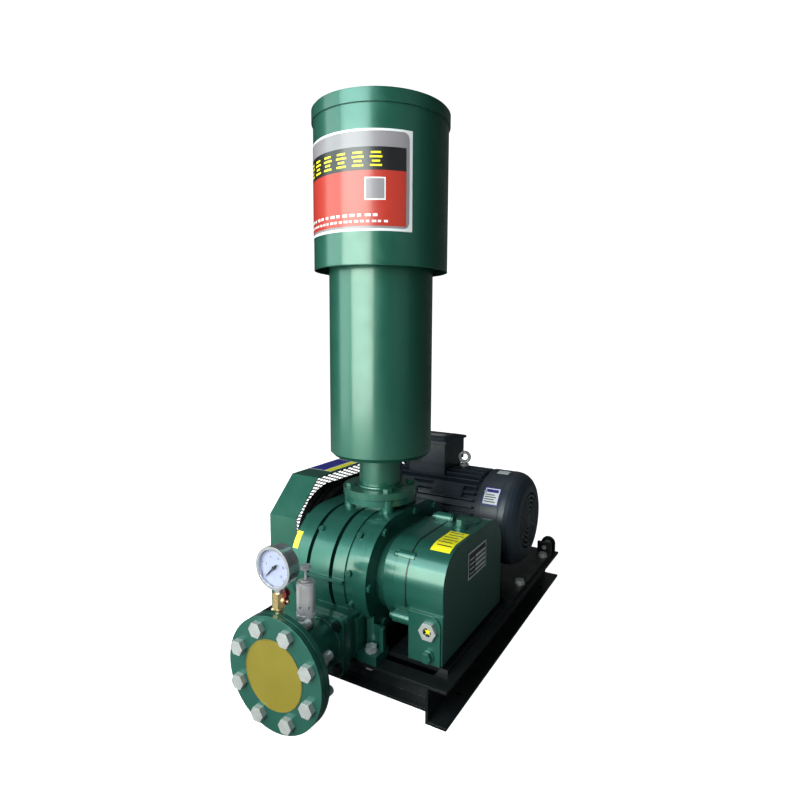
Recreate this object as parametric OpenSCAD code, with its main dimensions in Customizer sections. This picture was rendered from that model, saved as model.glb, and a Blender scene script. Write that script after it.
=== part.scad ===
// Three-lobe roots blower set: blower, belt drive, motor and intake silencer on one base.
// X runs along the shafts towards the gear end, Y from the discharge flange to the motor, Z up.
// The origin is the middle of the four anchor holes, on the floor.

/* [Base frame] */
// Length of the two side rails
base_len = 705; // [660:5:800]
// Width over the side rails
base_w = 470; // [450:2:520]
// Height of the side rails
rail_h = 71; // [60:1:90]
// Width of the side rail flanges
rail_w = 40; // [34:1:50]
// Thickness of the rail web and flanges
rail_t = 5; // [4:0.5:8]
// Diameter of the anchor holes
anchor_d = 14; // [10:1:18]
// Distance of each anchor hole from the rail's end
anchor_inset = 100; // [60:5:130]
// Height of the cross channels
cross_h = 48; // [36:1:56]
// Flange width of the cross channels
cross_w = 32; // [28:1:36]
// Thickness of the bearing plate under the gear end
deck_t = 8; // [5:1:12]

/* [Blower] */
// Distance of the blower's middle from the middle of the base
blower_back = 186; // [180:1:192]
// Height of the two rotor shafts
shaft_z = 210; // [206:1:222]
// Distance between the two rotor shafts
shaft_gap = 110; // [104:1:116]
// Lobes of each rotor
lobes = 3; // [2:1:3]
// Gap between the rotor tips and the casing
tip_gap = 0.4; // [0.3:0.05:0.8]
// Gap between the two rotors' flanks
mesh_gap = 0.35; // [0.25:0.05:0.5]
// Length of the rotor chamber
chamber_len = 144; // [136:1:152]
// Wall of the casing round the rotors
casing_wall = 13; // [9:1:16]
// Height of the casing's bands above its wall
band_h = 22; // [16:1:26]
// Width of the two grooves between the bands
groove_w = 8; // [5:1:12]
// Thickness of the headplate on the pulley side
drive_plate_t = 20; // [16:1:24]
// Thickness of the headplate on the gear side
gear_plate_t = 14; // [12:1:18]
// Diameter of the rotor shafts
shaft_d = 30; // [26:1:34]
// Outer diameter of the shaft bearings
bearing_d = 62; // [56:1:66]
// Width of the shaft bearings
bearing_w = 16; // [12:1:18]

/* [Gear case] */
// Radius of the upper shoulders of the gear case
shoulder_r = 66; // [60:1:76]
// Radius of the gear case round each shaft
gear_case_r = 84; // [82:1:90]
// Wall of the gear case
gear_wall = 8; // [5:1:10]
// Length of the inner gear case
gear_case_len = 49; // [44:1:54]
// Length of the gear cover
gear_cover_len = 75; // [66:1:90]
// Length of the narrow neck behind the gear case
gear_neck_len = 21; // [20:1:28]
// Depth of the oil sump below the shafts
sump_drop = 115; // [104:1:120]
// Teeth of each timing gear
gear_teeth = 44; // [36:4:52]
// Face width of the timing gears
gear_w = 26; // [16:1:30]
// Gap between meshing teeth flanks
tooth_gap = 0.35; // [0.25:0.05:0.5]

/* [Intake silencer] */
// Diameter of the silencer's neck pipe
neck_d = 89; // [76:1:95]
// Diameter of the inlet flange
inlet_flange_d = 156; // [150:1:170]
// Thickness of the inlet flange
inlet_flange_t = 14; // [8:1:18]
// Bolt circle of the inlet flange
inlet_pcd = 126; // [120:1:130]
// Height of the inlet flange's top above the shafts
inlet_rise = 149; // [140:1:160]
// Diameter of the silencer's body
body_d = 207; // [190:1:225]
// Height of the body's bottom above the inlet flange
body_rise = 66; // [50:1:90]
// Height of the body
body_len = 620; // [560:5:660]
// Diameter of the cap
cap_d = 264; // [256:1:290]
// Height of the cap with its lid
cap_len = 301; // [260:1:320]
// Height of the cap's lower edge above the body's bottom
cap_rise = 368; // [340:1:390]
// Height of the lid's rim
lid_h = 22; // [14:1:30]
// Sheet thickness of the silencer
sheet_t = 2; // [1:0.5:3]
// Diameter of the perforated core
core_d = 96; // [92:1:130]

/* [Discharge] */
// Height of the discharge pipe's axis
outlet_z = 113; // [110:1:118]
// Outer diameter of the discharge pipe
pipe_d = 89; // [76:1:90]
// Wall of the discharge pipe
pipe_t = 4; // [3:0.5:6]
// Length of the discharge pipe between its flanges
pipe_len = 117; // [112:1:140]
// Width of the square outlet flange
square_w = 108; // [104:1:116]
// Thickness of the square flanges
square_t = 9; // [7:1:14]
// Diameter of the round flanges
flange_d = 200; // [195:1:215]
// Thickness of the round flanges
flange_t = 9.5; // [7:0.5:14]
// Bolt circle of the round flanges
flange_pcd = 160; // [156:1:164]
// Bolts of the round flanges
flange_bolts_n = 8; // [4:4:8]
// Diameter of the flange bolts
flange_bolt_d = 16; // [12:1:16]
// Length of the flange bolts under the head
flange_bolt_l = 54; // [45:1:65]
// Diameter of the disc that closes the discharge flange
cover_disc_d = 122; // [100:1:126]
// Thickness of the gaskets
gasket_t = 1.5; // [1:0.5:3]

/* [Gauge and relief valve] */
// Diameter of the pressure gauge's bezel
gauge_d = 73; // [66:1:76]
// Depth of the gauge's case
gauge_depth = 30; // [26:1:34]
// Height of the gauge's middle above the pipe's axis
gauge_rise = 176; // [174:1:190]
// Outer diameter of the relief valve
relief_d = 33; // [28:1:36]
// Length of the relief valve's body
relief_len = 62; // [54:1:70]
// Lift of the relief valve
relief_lift = 4; // [2:0.5:5]

/* [Belt drive] */
// Outer diameter of the blower pulley
blower_pulley_d = 226; // [200:1:236]
// Outer diameter of the motor pulley
motor_pulley_d = 180; // [150:1:200]
// Number of belts
belts_n = 3; // [2:1:3]
// Distance between the belts
belt_pitch = 15; // [14.5:0.5:16]
// Width of a belt at its back
belt_w = 11; // [9:0.2:11.4]
// Height of a belt
belt_h = 8; // [6:0.5:9]
// Width of the belt guard
guard_w = 70; // [66:1:74]
// Sheet thickness of the guard
guard_t = 2; // [1.5:0.5:3]
// Height of the guard's top
guard_top = 368; // [350:1:390]
// Pitch of the mesh openings along the guard
mesh_pitch = 60; // [50:1:80]

/* [Motor] */
// Height of the motor's axis above its feet
motor_h = 112; // [112:1:120]
// Distance of the motor's axis behind the middle of the base
motor_y = 116; // [110:1:124]
// Radius of the motor's cooling fins
fin_r = 110; // [104:1:111]
// Radius of the motor's barrel under the fins
barrel_r = 96; // [88:1:100]
// Number of cooling fins
fins_n = 40; // [24:4:48]
// Thickness of a fin
fin_t = 4; // [3:0.5:5]
// Outer radius of the fan cowl
cowl_r = 111; // [106:1:111.5]
// Length of the fan cowl
cowl_len = 94; // [86:1:110]
// Diameter of the motor's shaft
motor_shaft_d = 28; // [24:1:32]
// Distance between the motor's foot holes along the shaft
foot_b = 140; // [120:5:160]
// Distance between the motor's foot holes across the shaft
foot_a = 190; // [170:5:200]
// Height of the motor's sliding base above the rails
slide_h = 47; // [42:1:54]
// Travel of the motor towards the blower when the belts are slackened
slide_in = 12; // [8:1:14]
// Travel of the motor away from the blower when the belts are tightened
slide_out = 8; // [5:1:10]

/* [Hidden] */
$fn = 64;

// Fits and seats
run_fit = 0.05;
seat = 0.3;
hole_fit = 0.5;

// Base
half_len = base_len / 2;
half_w = base_w / 2;
anchor_x = half_w - rail_w / 2;
anchor_y = half_len - anchor_inset;
mid_cross_y = -52;
foot_h = 18;
foot_d = 44;
foot_bolt_d = 12;
foot_x = 32;
foot_bolt_in = 15;
gear_foot_out = 24;

// Blower
blower_y = -blower_back;
port_x = -4;
chamber_x0 = -90;
chamber_x1 = chamber_x0 + chamber_len;
drive_y = blower_y + shaft_gap / 2;
driven_y = blower_y - shaft_gap / 2;
shafts = [drive_y, driven_y];
pitch_r = shaft_gap / 2;
roll_r = pitch_r / (2 * lobes);
tip_r = pitch_r + 2 * roll_r - mesh_gap / 2;
bore_r = tip_r + tip_gap;
wall_r = bore_r + casing_wall;
band_r = wall_r + band_h;
plate_x0 = chamber_x0 - drive_plate_t;
plate_x1 = chamber_x1 + gear_plate_t;
inlet_z = shaft_z + inlet_rise;
collar_z = inlet_z - inlet_flange_t - gasket_t;
collar_t = 13;
port_r = neck_d / 2 - 4.5;
plenum_z0 = rail_h + 3;
plenum_wall = 9;
hub_r = bearing_d / 2 + 6;
drive_hub_x = plate_x0 - 8;
gear_hub_x = plate_x1 + gear_neck_len - 1;
cover_plate_t = 5;
seal_w = 6;
seal_d = shaft_d + 16;

// Gear case
case_x0 = plate_x1 + gear_neck_len;
case_x1 = case_x0 + gear_case_len;
cover_x1 = case_x1 + gear_cover_len;
sump_z = shaft_z - sump_drop;
sump_pad = 4;
pad_r = 20;
near_y = driven_y - gear_case_r;
far_y = drive_y + gear_case_r;
gear_x0 = case_x0 + 12;
gear_x1 = gear_x0 + gear_w;
gear_module = shaft_gap / gear_teeth;
boss_r = 11;
cover_bolt_d = 8;
cover_pcr = gear_case_r - 1;
ledge_z = shaft_z - 25;
// Places of the cover bolts round the gear case, as [y, z]
cover_bolt_at = [
    [drive_y - 20, shaft_z + cover_pcr + 5],
    [driven_y - 0.7071 * cover_pcr, shaft_z + 0.7071 * cover_pcr],
    [drive_y + 0.7071 * cover_pcr, shaft_z + 0.7071 * cover_pcr],
    [driven_y - 0.843 * (cover_pcr + 8), shaft_z - 0.538 * (cover_pcr + 8)],
    [drive_y + 0.843 * (cover_pcr + 8), shaft_z - 0.538 * (cover_pcr + 8)]
];
boss_x0 = case_x0 + 23;
boss_x1 = case_x1 + 12;
plug_x = case_x1 + 40;
plug_y = blower_y + 6;
plug_d = 18;
sight_x = case_x1 + 50;
sight_z = shaft_z - 53;
sight_d = 22;
drain_z = sump_z + 15;
drain_d = 12;

// Silencer
body_z = inlet_z + body_rise;
body_top = body_z + body_len;
cap_z = body_z + cap_rise;
cap_top = cap_z + cap_len;
core_top = body_top - sheet_t - seat;

// Discharge
square_y = blower_y - 185;
pipe_square_y = square_y - square_t - gasket_t;
pipe_y0 = pipe_square_y - pipe_len;
companion_y = pipe_y0 - gasket_t;
front_y = companion_y - flange_t;
pipe_r = pipe_d / 2;
square_bolt_r = square_w / 2 - 13;
square_bolt_d = 10;

// Gauge and relief valve
gauge_x = port_x - 10;
gauge_y = pipe_y0 + flange_t + 7;
gauge_z = outlet_z + gauge_rise;
gauge_face = gauge_y - gauge_depth / 2;
cock_z = gauge_z - gauge_d / 2 - 21.5;
relief_y = pipe_square_y - 45;
relief_z = outlet_z + pipe_r + 20;

// Belt drive
guard_x0 = plate_x0 - 15 - guard_w;
guard_x1 = guard_x0 + guard_w;
pulley_w = belts_n * belt_pitch + 5;
pulley_x0 = guard_x0 + (guard_w - pulley_w) / 2;
pulley_x1 = pulley_x0 + pulley_w;
groove_depth = belt_h + 2;
motor_z = rail_h + slide_h + motor_h;
guard_front = blower_y - 127;
guard_back = motor_y + 135;
guard_slope = 70;
guard_foot = rail_h + 12;

// Motor
motor_x0 = guard_x1;
frame_x0 = motor_x0 + 18;
cowl_x0 = frame_x0 + 235;
cowl_x1 = cowl_x0 + cowl_len;
frame_x1 = cowl_x0 - 8;
rotor_r = barrel_r * 0.6;
foot_x0 = motor_x0 + 70;
feet_z = rail_h + slide_h;
slide_y0 = motor_y - foot_a / 2 - 20;
slide_y1 = motor_y + foot_a / 2 + 101;
slide_t = 8;
hold_x = half_w - rail_w / 2 - 3;
hold_y = [slide_y0 + 90, slide_y1 - 34];
plate_z0 = rail_h + seat;
plate_z1 = plate_z0 + slide_t;
riser_w = 40;
riser_t = 6;
hold_d = 12;
rod_d = 12;
rod_x = half_w - 27;
rod_z = rail_h + 23;
lug_r = rod_d / 2 + 13;
lug_y = slide_y1 + 28;
lug_t = 8;
box_x0 = frame_x0 + 22;
box_w = 108;
box_d = 112;
box_z = motor_z + fin_r + 10;
box_h = 50;
lid_t = 16;

module bar_x(x0, x1, y, z, r, sides = $fn) {
    translate([x0, y, z]) rotate([0, 90, 0]) cylinder(h = x1 - x0, r = r, $fn = sides);
}

module bar_y(y0, y1, x, z, r, sides = $fn) {
    translate([x, y1, z]) rotate([90, 0, 0]) cylinder(h = y1 - y0, r = r, $fn = sides);
}

module bar_z(z0, z1, x, y, r, sides = $fn) {
    translate([x, y, z0]) cylinder(h = z1 - z0, r = r, $fn = sides);
}

module block(a, b) {
    translate(a) cube([b[0] - a[0], b[1] - a[1], b[2] - a[2]]);
}

// A flat outline drawn in Y and Z, pushed along X
module along_x(x0, x1) {
    translate([x0, 0, 0]) rotate([90, 0, 90]) linear_extrude(height = x1 - x0) children();
}

// A flat outline drawn in X and Z, pushed along Y
module along_y(y0, y1) {
    translate([0, y1, 0]) rotate([90, 0, 0]) linear_extrude(height = y1 - y0) children();
}

// Two round ends of radius r on the shaft axes, joined by flats
module twin(x0, x1, r) {
    for (y = shafts) bar_x(x0, x1, y, shaft_z, r);
    block([x0, driven_y, shaft_z - r], [x1, drive_y, shaft_z + r]);
}

// Inside and lower part of the gear cover: two round ends over a square sump
module cover_form(x0, x1, wall) {
    twin(x0, x1, gear_case_r - wall);
    block([max(x0, case_x1 + 7 + wall), near_y + wall, sump_z + wall], [x1, far_y - wall, ledge_z - wall]);
}

// Upper shoulders of the gear case, squarer than the round ends below them
module shoulders(x0, x1, inset) {
    z = shaft_z + gear_case_r - shoulder_r;
    for (y = [near_y + shoulder_r, far_y - shoulder_r]) bar_x(x0, x1, y, z, shoulder_r - inset);
    block([x0, near_y + shoulder_r, shaft_z], [x1, far_y - shoulder_r, shaft_z + gear_case_r - inset]);
    block([x0, near_y + inset, shaft_z], [x1, far_y - inset, z]);
}

function across(width) = width / (2 * cos(30));

module hex_head_y(y0, y1, x, z, width) {
    bar_y(y0, y1, x, z, across(width), 6);
}

// Side rails: channels that open outwards, with the lugs of the tension rods
module channel_rail(side) {
    x_in = half_w - rail_w;
    difference() {
        mirror([side < 0 ? 1 : 0, 0, 0]) union() {
            block([x_in, -half_len, 0], [x_in + rail_t, half_len, rail_h]);
            block([x_in, -half_len, 0], [half_w, half_len, rail_t]);
            block([x_in, -half_len, rail_h - rail_t], [half_w, half_len, rail_h]);
            bar_y(lug_y, lug_y + lug_t, rod_x, rod_z, lug_r);
            block([x_in, lug_y, rail_h - 1], [rod_x + lug_r, lug_y + lug_t, rod_z]);
            block([rod_x - lug_r, lug_y, rail_h + seat], [rod_x, lug_y + lug_t, rod_z]);
        }
        for (y = [-anchor_y, anchor_y]) bar_z(-1, rail_t + 1, side * anchor_x, y, anchor_d / 2);
        for (y = hold_y) hold_slot(side * hold_x, y);
        bar_y(lug_y - 1, lug_y + lug_t + 1, side * rod_x, rod_z, rod_d / 2 + seat);
    }
}

// Slot for a hold-down bolt in the rail's upper flange
module hold_slot(x, y) {
    r = hold_d / 2 + hole_fit;
    for (dy = [-slide_in, slide_out]) bar_z(rail_h - rail_t - 1, rail_h + 1, x, y + dy, r);
    block([x - r, y - slide_in, rail_h - rail_t - 1], [x + r, y + slide_out, rail_h + 1]);
}

module side_rails() {
    color("#1b1d20") for (side = [-1, 1]) channel_rail(side);
}

// Cross channel with its web towards the blower and its flanges outwards
module cross_channel(y, out) {
    x_in = half_w - rail_w;
    y_out = y + out * cross_w;
    block([-x_in, min(y, y_out), rail_h - rail_t], [x_in, max(y, y_out), rail_h]);
    block([-x_in, min(y, y_out), rail_h - cross_h], [x_in, max(y, y_out), rail_h - cross_h + rail_t]);
    block([-x_in, min(y, y + out * rail_t), rail_h - cross_h], [x_in, max(y, y + out * rail_t), rail_h]);
}

front_cross_y = -half_len + cross_w;

module cross_channels() {
    color("#202327") difference() {
        union() {
            cross_channel(front_cross_y, -1);
            cross_channel(mid_cross_y, 1);
            cross_channel(half_len - cross_w, 1);
        }
        for (p = foot_bolt_at) bar_z(rail_h - rail_t - 1, rail_h + 1, p[0], p[1], foot_bolt_d / 2 + hole_fit);
    }
}

// Feet of the two headplates, as [x, y of the outer face, direction]
foot_y = [-half_len + 2, mid_cross_y + cross_w];
foot_bolt_at = [
    for (x = [plate_x1 + 4, plate_x0 + foot_x], i = [0, 1])
        [x, foot_y[i] + (i == 0 ? foot_bolt_in : -foot_bolt_in)]
];

module bearing_plate() {
    color("#26282b") block(
        [plate_x1 + gear_foot_out + 1, front_cross_y + 14, rail_h],
        [half_w - rail_w / 2, mid_cross_y + cross_w - 10, rail_h + deck_t]
    );
}

// Bolts that hold the blower's feet and the motor's sliding base to the frame
module base_bolts() {
    color("#8d8f92") {
        for (p = foot_bolt_at) {
            bolt_z(p[0], p[1], rail_h + foot_h, rail_h - rail_t, foot_bolt_d);
        }
        for (side = [-1, 1]) {
            for (y = hold_y) bolt_z(side * hold_x, y, plate_z1 + seat, rail_h - rail_t, hold_d);
            rod_nut(side, lug_y - 10 - seat);
            rod_nut(side, lug_y + lug_t + seat);
        }
    }
}

// Bolt that stands on top, with its nut below
module bolt_z(x, y, top, bottom, d) {
    bar_z(bottom - 12, top, x, y, d / 2);
    bar_z(top, top + 2, x, y, d);
    bar_z(top + 2, top + 2 + 0.65 * d, x, y, across(1.6 * d), 6);
    bar_z(bottom - 0.8 * d, bottom, x, y, across(1.6 * d), 6);
}

module rod_nut(side, y) {
    difference() {
        hex_head_y(y, y + 10, side * rod_x, rod_z, 1.6 * rod_d);
        bar_y(y - 1, y + 11, side * rod_x, rod_z, rod_d / 2 + seat);
    }
}

// Rotor casing with its bands, inlet collar and the discharge passage below
groove_x = [chamber_x0 + 20, chamber_x0 + 75];

module casing_outside() {
    difference() {
        twin(chamber_x0, chamber_x1, band_r);
        for (x = groove_x) difference() {
            twin(x, x + groove_w, band_r + 1);
            twin(x - 1, x + groove_w + 1, wall_r);
        }
        // Step of the flange at the gear side
        difference() {
            twin(chamber_x1 - 34, chamber_x1 - 16, band_r + 1);
            twin(chamber_x1 - 35, chamber_x1 - 15, band_r - 3);
        }
    }
    // Collar and neck of the inlet
    translate([port_x, blower_y, 0]) {
        block([-46, -46, shaft_z + wall_r - 20], [46, 46, collar_z]);
        bar_z(collar_z - collar_t, collar_z, 0, 0, inlet_flange_d / 2 - 4);
        for (sx = [-1, 1], sy = [-1, 1]) {
            bar_z(shaft_z + band_r - 8, collar_z, sx * inlet_pcd * 0.3536, sy * inlet_pcd * 0.3536, 13);
        }
    }
    // Horizontal joint rib on the discharge side
    block([groove_x[0] + groove_w, driven_y - band_r - 5, shaft_z + 1], [chamber_x1 - 34, driven_y - wall_r + 8, shaft_z + 7]);
    // Small bosses on the bands
    for (p = [[chamber_x0 + 32, 48], [chamber_x1 - 24, 50], [chamber_x1 - 24, 12], [chamber_x1 - 24, -22]]) {
        translate([p[0], driven_y, shaft_z]) rotate([90 + p[1] * -1, 0, 0]) cylinder(h = band_r + 4, r = 6);
    }
}

module casing_bottom() {
    // Passage under the rotors, and the square flange at its end
    block([port_x - 56, square_y + 20, plenum_z0], [chamber_x1 - 2, drive_y + 8, shaft_z - 60]);
    block([port_x - 48, square_y, plenum_z0 + 2], [port_x + 48, square_y + 60, outlet_z + 44]);
    square_plate(square_y - square_t, square_y);
}

// Square plate with round corners, drawn flat in X and Z
module square_plate(y0, y1) {
    w = square_w / 2;
    c = 12;
    translate([port_x, 0, outlet_z]) {
        block([-w + c, y0, -w], [w - c, y1, w]);
        block([-w, y0, -w + c], [w, y1, w - c]);
        for (sx = [-1, 1], sz = [-1, 1]) bar_y(y0, y1, sx * (w - c), sz * (w - c), c);
    }
}

module square_holes(y0, y1) {
    for (sx = [-1, 1], sz = [-1, 1]) {
        bar_y(y0, y1, port_x + sx * square_bolt_r, outlet_z + sz * square_bolt_r, square_bolt_d / 2 + hole_fit);
    }
}

module rotor_casing() {
    passage_top = shaft_z - wall_r + 2;
    color("#1f6b52") difference() {
        union() {
            casing_outside();
            casing_bottom();
        }
        for (y = shafts) bar_x(chamber_x0 - 1, chamber_x1 + 1, y, shaft_z, bore_r);
        bar_z(shaft_z, collar_z + 1, port_x, blower_y, port_r);
        bar_y(square_y - square_t - 1, square_y + 40, port_x, outlet_z, port_r);
        block([port_x - 40, square_y + 30, plenum_z0 + plenum_wall], [port_x + 40, blower_y + 30, passage_top]);
        block([port_x - 40, blower_y - 30, plenum_z0 + plenum_wall], [port_x + 40, blower_y + 30, shaft_z]);
        square_holes(square_y - square_t - 1, square_y + 1);
        for (a = [45:90:315]) {
            bar_z(collar_z - 30, collar_z + 1, port_x + inlet_pcd / 2 * cos(a), blower_y + inlet_pcd / 2 * sin(a), 5 + hole_fit);
        }
    }
}

// Foot of a headplate, on the cross channels at both sides
module feet(x0, x1, pad_x0, pad_x1, rib_x0, rib_x1) {
    for (i = [0, 1]) {
        s = i == 0 ? 1 : -1;
        y0 = foot_y[i];
        y1 = y0 + s * foot_d;
        leg = y0 + s * 24;
        block([pad_x0, min(y0, y1), rail_h], [pad_x1, max(y0, y1), rail_h + foot_h]);
        block([x0, min(leg, leg + s * 50), rail_h + 1], [x1, max(leg, leg + s * 50), shaft_z - 60]);
        block([rib_x0, min(leg, leg + s * 10), rail_h + 1], [rib_x1, max(leg, leg + s * 10), shaft_z - 78]);
    }
}

module foot_holes() {
    for (p = foot_bolt_at) {
        bar_z(rail_h - 1, rail_h + foot_h + 1, p[0], p[1], foot_bolt_d / 2 + hole_fit);
        bar_z(rail_h + foot_h, rail_h + foot_h + 60, p[0], p[1], 15);
    }
}

// Room for the shafts, their bearings and seals in a headplate
module shaft_room(x0, x1, bearing_x0, bearing_x1, seal_x0) {
    for (y = shafts) {
        bar_x(x0 - 1, x1 + 1, y, shaft_z, shaft_d / 2 + 1.5);
        bar_x(bearing_x0, bearing_x1, y, shaft_z, bearing_d / 2);
        bar_x(seal_x0, seal_x0 + seal_w, y, shaft_z, seal_d / 2);
    }
}

module drive_headplate() {
    bearing_x1 = drive_hub_x + bearing_w;
    color("#1d6650") difference() {
        union() {
            twin(plate_x0, chamber_x0, band_r);
            for (y = shafts) bar_x(drive_hub_x, plate_x0 + 1, y, shaft_z, hub_r);
            feet(plate_x0, chamber_x0 - 2, plate_x0, plate_x0 + 2 * foot_x - 8, chamber_x0 - 3, chamber_x0 + 20);
        }
        shaft_room(drive_hub_x, chamber_x0, drive_hub_x - 1, bearing_x1, chamber_x0 - seal_w - 2);
        foot_holes();
        plenum_clear();
    }
}

// The headplates' feet keep clear of the casing's passage
module plenum_clear() {
    block([port_x - 56 - seat, square_y, plenum_z0 - 4], [chamber_x1 - 2 + seat, drive_y + 8 + seat, shaft_z - 60 + seat]);
}

module gear_headplate() {
    bearing_x0 = gear_hub_x - bearing_w;
    color("#1a5a48") difference() {
        union() {
            twin(chamber_x1, plate_x1, band_r);
            for (y = shafts) bar_x(plate_x1 - 1, gear_hub_x, y, shaft_z, hub_r);
            feet(chamber_x1 + 2, plate_x1, chamber_x1 - 2, plate_x1 + gear_foot_out, plate_x1 - 1, plate_x1 + gear_foot_out);
        }
        shaft_room(chamber_x1, gear_hub_x, bearing_x0, gear_hub_x + 1, chamber_x1 + 2);
        foot_holes();
        plenum_clear();
    }
}

// Bolts round both headplates
head_bolt_angles = [-61, 0, 63];

module ring_bolts(x_face, x_head, r, width) {
    for (a = head_bolt_angles, s = [-1, 1]) {
        y = (s < 0 ? driven_y : drive_y) + s * r * cos(a);
        bar_x(x_face, x_head, y, shaft_z + r * sin(a), across(width), 6);
    }
    bar_x(x_face, x_head, blower_y + 14, shaft_z + r, across(width), 6);
}

module headplate_bolts() {
    color("#9aa39f") {
        ring_bolts(plate_x1, plate_x1 + 6, band_r - 10, 14);
        ring_bolts(plate_x0 - 6, plate_x0, band_r - 10, 14);
    }
}

// Lobed rotor outline: tips roll outside the pitch circle, valleys inside it, and both
// are set back by half the gap between the rotors
lobe_steps = 16;

function tip_point(t, a0) =
    let (k = pitch_r / roll_r, a = a0 + t, q = pitch_r * [cos(a), sin(a)],
         p = (pitch_r + roll_r) * [cos(a), sin(a)] - roll_r * [cos(a + k * t), sin(a + k * t)],
         n = p - q, s = max(norm(n), 0.001))
    p - mesh_gap / 2 * n / s;

function valley_point(t, a0) =
    let (k = pitch_r / roll_r, a = a0 + t, q = pitch_r * [cos(a), sin(a)],
         p = (pitch_r - roll_r) * [cos(a), sin(a)] + roll_r * [cos(a - k * t), sin(a - k * t)],
         n = p - q, s = max(norm(n), 0.001))
    p + mesh_gap / 2 * n / s;

lobe_arc = 180 / lobes;
rotor_points = [
    for (i = [0 : lobes - 1], j = [0 : 2 * lobe_steps - 1])
        let (a = i * 2 * lobe_arc, t = (j % lobe_steps + 0.5) / lobe_steps * lobe_arc)
        j < lobe_steps ? tip_point(t, a) : valley_point(t, a + lobe_arc)
];

module rotor(y, turn) {
    difference() {
        translate([chamber_x0 + 0.4, y, shaft_z]) rotate([90, 0, 90]) rotate(turn)
            linear_extrude(height = chamber_len - 0.8) polygon(rotor_points);
        bar_x(chamber_x0, chamber_x1, y, shaft_z, shaft_d / 2 + run_fit / 2);
    }
}

module drive_rotor() {
    color("#7d8084") rotor(drive_y, 180 - lobe_arc / 2);
}

module driven_rotor() {
    color("#74777b") rotor(driven_y, lobe_arc / 2);
}

module drive_shaft() {
    color("#b9bcc0") {
        bar_x(pulley_x0 - 2, gear_x1 + 12, drive_y, shaft_z, shaft_d / 2);
        shaft_nut(drive_y);
    }
}

module driven_shaft() {
    color("#b9bcc0") {
        bar_x(drive_hub_x + 1, gear_x1 + 12, driven_y, shaft_z, shaft_d / 2);
        shaft_nut(driven_y);
    }
}

module shaft_nut(y) {
    bar_x(gear_x1 + seat, gear_x1 + 10, y, shaft_z, across(shaft_d + 14), 6);
}

// Ball bearings of both shafts, at the pulley side and at the gear side
module bearing(x0, y) {
    inner = shaft_d / 2 + run_fit;
    outer = bearing_d / 2 - run_fit;
    mid = (inner + outer) / 2;
    ball = (outer - inner) * 0.28;
    difference() {
        bar_x(x0, x0 + bearing_w, y, shaft_z, outer);
        bar_x(x0 - 1, x0 + bearing_w + 1, y, shaft_z, inner);
        for (x = [x0 - 1, x0 + bearing_w - 2]) difference() {
            bar_x(x, x + 3, y, shaft_z, mid + ball * 0.7);
            bar_x(x - 1, x + 4, y, shaft_z, mid - ball * 0.7);
        }
    }
}

module shaft_bearings() {
    color("#c5c8cc") for (y = shafts) {
        bearing(drive_hub_x, y);
        bearing(gear_hub_x - bearing_w, y);
    }
}

module seal(x0, y) {
    difference() {
        bar_x(x0, x0 + seal_w, y, shaft_z, seal_d / 2 - run_fit);
        bar_x(x0 - 1, x0 + seal_w + 1, y, shaft_z, shaft_d / 2 + run_fit);
    }
}

module shaft_seals() {
    color("#2b2320") for (y = shafts) {
        seal(chamber_x0 - seal_w - 2, y);
        seal(chamber_x1 + 2, y);
    }
}

// Covers of the bearings at the pulley side: one open for the shaft, one closed
module drive_end_covers() {
    color("#1d6650") for (y = shafts) difference() {
        union() {
            bar_x(drive_hub_x - cover_plate_t, drive_hub_x, y, shaft_z, hub_r);
            for (a = [45:90:315]) {
                bar_x(drive_hub_x - cover_plate_t - 4, drive_hub_x - cover_plate_t,
                      y + (hub_r - 5) * cos(a), shaft_z + (hub_r - 5) * sin(a), 4.2);
            }
        }
        if (y == drive_y) bar_x(drive_hub_x - 10, drive_hub_x + 1, y, shaft_z, shaft_d / 2 + 1);
    }
}

// Timing gear with straight teeth, cut by a formula for each flank
function tooth_half(r) = 90 / gear_teeth - (r - pitch_r) * 0.42 / pitch_r * 57.3 - tooth_gap / 2 / pitch_r * 57.3;

gear_tip = pitch_r + gear_module;
gear_root = pitch_r - 1.25 * gear_module;
gear_points = [
    for (i = [0 : gear_teeth - 1], c = [[gear_root, -1], [pitch_r, -1], [gear_tip, -1], [gear_tip, 1], [pitch_r, 1], [gear_root, 1]])
        let (a = i * 360 / gear_teeth + c[1] * tooth_half(c[0]))
        c[0] * [cos(a), sin(a)]
];

module timing_gear(y, turn) {
    difference() {
        union() {
            translate([gear_x0, y, shaft_z]) rotate([90, 0, 90]) rotate(turn)
                linear_extrude(height = gear_w) polygon(gear_points);
        }
        bar_x(gear_x0 - 1, gear_x1 + 1, y, shaft_z, shaft_d / 2 + run_fit / 2);
        for (x = [gear_x0 - 1, gear_x1 - 7]) difference() {
            bar_x(x, x + 8, y, shaft_z, gear_root - 7);
            bar_x(x - 1, x + 9, y, shaft_z, shaft_d / 2 + 11);
        }
        for (a = [0:60:300]) bar_x(gear_x0, gear_x1, y + 34 * cos(a), shaft_z + 34 * sin(a), 5.5);
    }
}

module drive_timing_gear() {
    color("#8b8f94") timing_gear(drive_y, 180 + 180 / gear_teeth);
}

module driven_timing_gear() {
    color("#80848a") timing_gear(driven_y, 0);
}

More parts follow.
